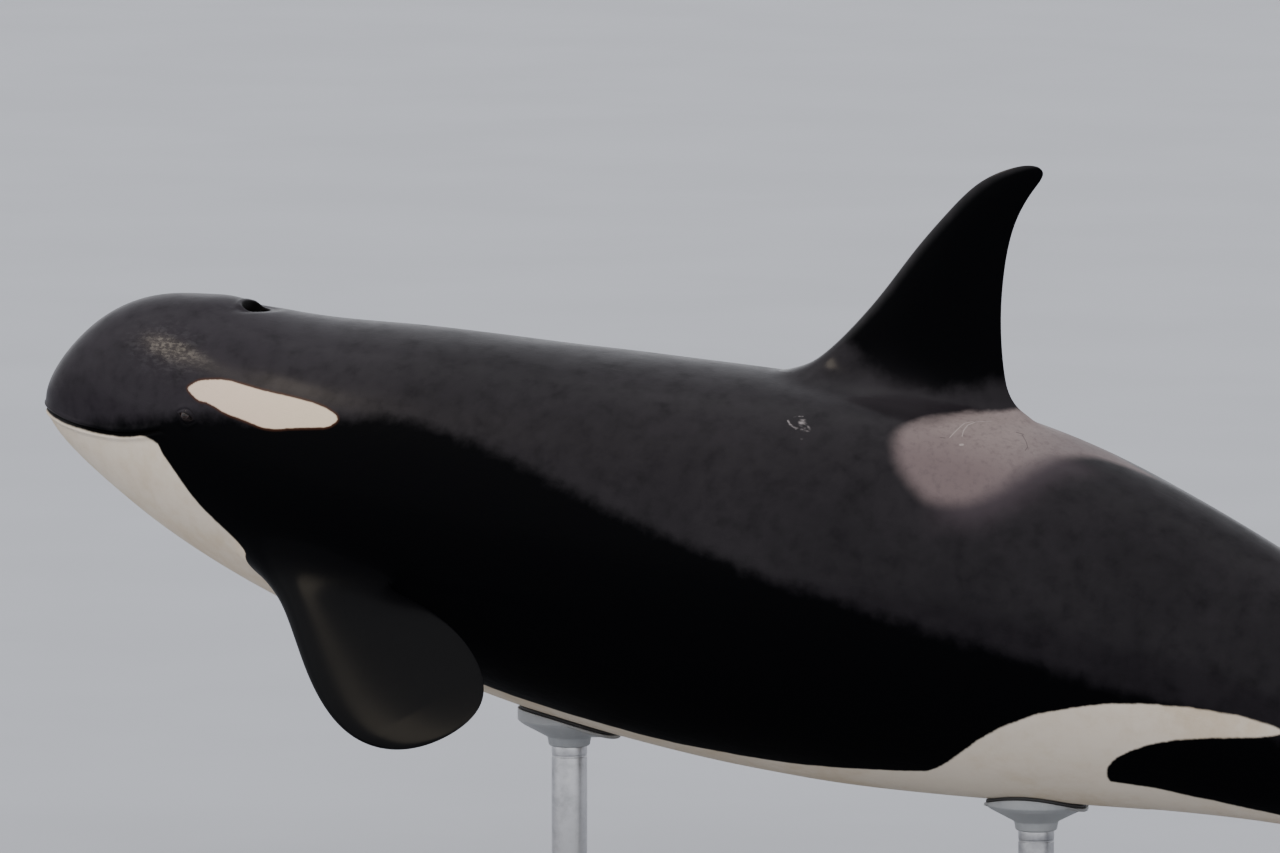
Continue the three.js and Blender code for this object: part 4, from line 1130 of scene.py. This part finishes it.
# Profiles as (radius, height); the dish and the pad lie against the belly, as (radius, gap to it).
standProfiles = {
    "washer": [(0, 0), (0.019, 0), (0.019, 0.003), (0, 0.003)],
    "bolt": [(0.001, 0.003), (0.0125, 0.003), (0.0132, 0.004), (0.0132, 0.0105), (0.0118, 0.0124),
             (0.0100, 0.0130), (0.0085, 0.0122), (0.001, 0.0122)],
    "collar": [(0.0554, 0.0004), (0.170, 0.0004), (0.170, 0.016), (0.165, 0.020), (0.098, 0.022),
               (0.086, 0.030), (0.080, 0.054), (0.075, 0.060), (0.0564, 0.060), (0.0554, 0.0585)],
    "cup": [(0, 0), (0.060, 0), (0.064, 0.004), (0.068, 0.028), (0.146, 0.070), (0.160, 0.082),
            (0.160, 0.088)],
    "dish": [(0.160, 0.016), (0.159, 0.0142), (0.157, 0.0134), (0.15, 0.0132), (0.12, 0.0132), (0.09, 0.0132),
             (0.06, 0.0132), (0.03, 0.0132), (0.004, 0.0132)],
    "pad": [(0.004, 0.0126), (0.05, 0.0126), (0.1, 0.0126), (0.151, 0.0126), (0.153, 0.011), (0.154, 0.009),
            (0.154, 0.005), (0.1528, 0.0028), (0.150, 0.0016), (0.13, 0.0014), (0.1, 0.0014), (0.07, 0.0014),
            (0.04, 0.0014), (0.004, 0.0014)],
}
standColours = {
    "paint": (0.27, 0.28, 0.29), "paintLight": (0.33, 0.335, 0.34), "bare": (0.42, 0.42, 0.43),
    "steel": (0.52, 0.52, 0.53), "steelDark": (0.30, 0.30, 0.31), "zinc": (0.50, 0.50, 0.50),
    "rubber": (0.022, 0.021, 0.021), "dust": (0.11, 0.10, 0.09),
}


# Light scuffs and dust, as a mask and a height.
def buildWear(tree, given):
    place = objectPlace(tree)
    scuff = noise(tree, 3.0, 5.0, 0.6, scaled(place, (2.0, 40.0, 12.0)))
    spots = noise(tree, given["Scale"] * 5.0, 4.0, 0.6, place)
    mask = ranged(scuff, (0.58, 0.70)) * ranged(spots, (0.45, 0.60))
    grain = noise(tree, given["Scale"] * 90.0, 2.0, 0.5, place)
    return [mask, grain * 0.5 - mask * 0.3]


wearGroup = group("Wear", buildWear, ["Mask", "Height"], Scale=8.0)


def standMaterial(name, main, light, worn, wornColour, rough, depth, metallic=0.0, brushed=None):
    made, tree, shader = material(name, Metallic=metallic)
    mask, height = use(tree, wearGroup, Scale=8.0)
    tone = ranged(use(tree, blotchGroup, Scale=3.5)[0], (0.38, 0.64))
    colour = mixed(tone, standColours[main], standColours[light])
    colour = mixed(mask * worn, colour, standColours[wornColour])
    roughness = tone * 0.10 + rough
    if brushed:
        lines = noise(tree, 1.0, 3.0, 0.6, scaled(objectPlace(tree), brushed))
        height, roughness = height + lines, lines * 0.22 + (rough - 0.08)
    feed(shader, Base_Color=colour, Roughness=roughness, Normal=bumped(height, 0.35, depth))
    return made


paint = standMaterial("satinPaint", "paint", "paintLight", 0.5, "bare", 0.42, 0.0006)
steel = standMaterial("brushedSteel", "steel", "steelDark", 0.3, "steelDark", 0.30, 0.0003, 1.0,
                      (30.0, 30.0, 900.0))
zinc = standMaterial("zincBolts", "zinc", "steelDark", 0.5, "steelDark", 0.34, 0.0003, 1.0)
rubber = standMaterial("blackRubber", "rubber", "rubber", 0.5, "dust", 0.62, 0.0008)


# Rounds the corners of a profile of (radius, height) points.
def filleted(profile, size, steps):
    line = [np.array(p, float) for p in profile]
    kept = [line[0]]
    for before, corner, after in zip(line, line[1:], line[2:]):
        a, b = before - corner, after - corner
        long, wide = np.linalg.norm(a), np.linalg.norm(b)
        cut = min(size, long / 2.2, wide / 2.2)
        start, end = corner + a / long * cut, corner + b / wide * cut
        for t in np.linspace(0, 1, steps):
            kept.append((1 - t) ** 2 * start + 2 * t * (1 - t) * corner + t * t * end)
    return kept + [line[-1]]


def lifted(profile, height):
    return [(r, z + height) for r, z in profile]


# Rings about a vertical line; a ring's height may change with its place.
def turnedMesh(name, look, profile, centre, segments=standForm["segments"]):
    turn = 2 * math.pi * np.arange(segments) / segments
    rings = []
    for radius, height in profile:
        x, y = centre[0] + radius * np.cos(turn), centre[1] + radius * np.sin(turn)
        rings.append(np.stack([x, y, height(x, y) if callable(height) else np.full(segments, height)], -1))
    ends = [rings[0].mean(0), rings[-1].mean(0)]
    made = meshFrom(name, np.concatenate(rings + [ends]), gridFaces(0, len(rings), segments),
                    endFans(len(rings), segments))
    made.data.materials.append(look)
    return made


def joinInto(target, others):
    bpy.ops.object.select_all(action="DESELECT")
    for piece in (*others, target):
        piece.select_set(True)
    bpy.context.view_layer.objects.active = target
    bpy.ops.object.join()
    bpy.ops.object.select_all(action="DESELECT")


def basePlate():
    low, high = (np.array(c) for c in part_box("stand_base"))
    middle, half = (low + high) / 2, (high - low) / 2
    corner, edge, lip = standForm["corner"], standForm["edge"], standForm["lip"]
    quarter = np.linspace(0, math.pi / 2, 16)

    def outline(inset, z):
        points = []
        for k, side in enumerate(((1, 1), (-1, 1), (-1, -1), (1, -1))):
            x, y = middle[:2] + side * (half[:2] - corner)
            points += [(x + (corner - inset) * math.cos(k * math.pi / 2 + t),
                        y + (corner - inset) * math.sin(k * math.pi / 2 + t), z) for t in quarter]
        return points
    levels = [(0.03, low[2]), (lip, low[2]), (0, low[2] + lip)]
    levels += [(edge * (1 - math.cos(t)), high[2] - edge + edge * math.sin(t)) for t in quarter[::3]]
    levels += [(0.03, high[2]), (0.07, high[2])]
    count = 4 * len(quarter)
    lids = [np.arange(count)[::-1], np.arange(count) + (len(levels) - 1) * count]
    plate = meshFrom("standBase", np.concatenate([outline(*level) for level in levels]),
                     gridFaces(0, len(levels), count), lids)
    plate.data.materials.append(paint)
    finishPiece(plate, "stand_metal", "stand_base")


def bolt(centre, z):
    washer = turnedMesh("bolt", zinc, filleted(lifted(standProfiles["washer"], z), 0.0008, 3), centre, 40)
    head = turnedMesh("boltHead", zinc, lifted(standProfiles["bolt"], z), centre, 6)
    head.data.polygons.foreach_set("use_smooth", np.zeros(len(head.data.polygons), bool))
    return [washer, head]


def makeHolder(end, belly):
    form, label, radius = standForm, end.title(), standForm["rodRadius"]
    low, high = (np.array(c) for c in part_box("stand_rod_" + end))
    centre, foot, deck = (low + high)[:2] / 2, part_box("stand_cradle_" + end)[0][2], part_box("stand_base")[1][2]

    def underBelly(gap, highest=math.inf):
        def at(x, y):
            starts = [Vector((*spot, foot - 0.05)) for spot in zip(x, y)]
            hits = np.array([belly.ray_cast(start, Vector((0, 0, 1)))[0].z for start in starts])
            return np.minimum(hits - gap, highest)
        return at
    profile = [(0, low[2]), (radius, low[2])]
    for place in (low[2] + form["grooves"][0], high[2] - form["grooves"][1]):
        profile += [(radius - depth, place + height) for height, depth in form["groove"]]
    profile += [(radius, high[2]), (0, high[2])]
    rod = turnedMesh("standRod" + label, steel, filleted(profile, 0.0015, 4), centre)
    finishPiece(rod, "stand_metal", "stand_rod_" + end)
    profile = filleted(lifted(standProfiles["collar"], deck), 0.004, 5)
    collar = turnedMesh("standCollar" + label, paint, profile, centre)
    turns, reach = math.pi / 3 * (np.arange(form["bolts"]) + 0.5), form["boltCircle"]
    spots = [centre + reach * np.array([math.cos(turn), math.sin(turn)]) for turn in turns]
    joinInto(collar, [part for spot in spots for part in bolt(spot, deck + form["boltLevel"])])
    finishPiece(collar, "stand_metal", "stand_collar_" + end)
    cup = [(r, underBelly(form["cupGap"], foot + z) if r > form["cupFrom"] else foot + z)
           for r, z in filleted(standProfiles["cup"], 0.006, 5)]
    dish, pad = ([(r, underBelly(gap)) for r, gap in standProfiles[name]] for name in ("dish", "pad"))
    cradle = turnedMesh("standCradle" + label, paint, cup + dish, centre)
    finishPiece(cradle, "stand_metal", "stand_cradle_" + end)
    finishPiece(turnedMesh("standPad" + label, rubber, pad, centre), "stand_pad")


basePlate()
mesh = skin.data
belly = BVHTree.FromPolygons([v.co.copy() for v in mesh.vertices], [tuple(p.vertices) for p in mesh.polygons])
for end in ("front", "rear"):
    makeHolder(end, belly)
print("stand made")

bpy.context.view_layer.update()
cameraForm = {
    "azimuth": 19.0, "elevation": 6.5, "distance": 40.0, "width": 3.96, "sensor": 36,
    "target": (1.8668, 0.2168, -0.1061),  # from the snout's tip
}
lightForm = {
    "sky": {"energy": 2.3, "angle": 150, "tilt": 48},
    # a small warm lamp, placed so that its sheen falls on the melon
    "lamp": {"energy": 0.8, "angle": 18, "place": 7.2, "turn": 53, "colour": (1.0, 0.86, 0.66)},
    "world": (1.07, 1.09, 1.15), "floor": (0.290, 0.301, 0.333), "floorLight": (0.308, 0.320, 0.353),
    "floorSize": 2000, "floorLevel": -0.0005,
}


def placed(name, data):
    made = bpy.data.objects.new(name, data)
    bpy.context.scene.collection.objects.link(made)
    return made


def sunLight(name, colour=(1.0, 1.0, 1.0)):
    sun = placed(name, bpy.data.lights.new(name, "SUN"))
    sun.data.energy, sun.data.angle = lightForm[name]["energy"], math.radians(lightForm[name]["angle"])
    sun.data.color = colour
    return sun


camera = placed("camera", bpy.data.cameras.new("camera"))
bpy.context.scene.camera = camera
azimuth, elevation = math.radians(cameraForm["azimuth"]), math.radians(cameraForm["elevation"])
flat = math.cos(elevation)
ahead = Vector((-math.sin(azimuth) * flat, math.cos(azimuth) * flat, -math.sin(elevation)))
camera.location = Vector(cameraForm["target"]) + Vector(offset) - ahead * cameraForm["distance"]
camera.rotation_euler = ahead.to_track_quat("-Z", "Y").to_euler()
camera.data.sensor_width = cameraForm["sensor"]
camera.data.lens = cameraForm["sensor"] * cameraForm["distance"] / cameraForm["width"]
camera.data.clip_end = 5000

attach(skin, "root")
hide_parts("head", "lower_jaw", "eye_patch_left", "eye_patch_right", "chest", "midbody", "loin",
            "saddle_patch", "tail_stock", "fluke_left", "fluke_right", "dorsal_fin",
            "flipper_left", "flipper_right")

sunLight("sky").rotation_euler = (math.radians(lightForm["sky"]["tilt"]), 0, 0)
lampForm = lightForm["lamp"]
gloss = Vector(skinNormal(np.array(math.sqrt(lampForm["place"] / 100)), math.radians(lampForm["turn"])))
toLamp = gloss * (2 * gloss.dot(-ahead)) + ahead
sunLight("lamp", lampForm["colour"]).rotation_euler = (-toLamp).to_track_quat("-Z", "Y").to_euler()
print("lamp towards", [round(v, 2) for v in toLamp])
world = bpy.data.worlds.new("studio")
bpy.context.scene.world = world
world.use_nodes = True
world.node_tree.nodes["Background"].inputs["Color"].default_value = (*lightForm["world"], 1)

corners = [(x * lightForm["floorSize"], y * lightForm["floorSize"], lightForm["floorLevel"])
           for x, y in ((-1, -1), (1, -1), (1, 1), (-1, 1))]
floor = meshFrom("floor", corners, [(0, 1, 2, 3)])
floorLook, floorTree, floorShader = material("studioFloor", Roughness=0.6)
floorTone = ranged(noise(floorTree, 0.7, 4.0, 0.55, objectPlace(floorTree)), (0.3, 0.7))
feed(floorShader, Base_Color=mixed(floorTone, lightForm["floor"], lightForm["floorLight"]))
floor.data.materials.append(floorLook)
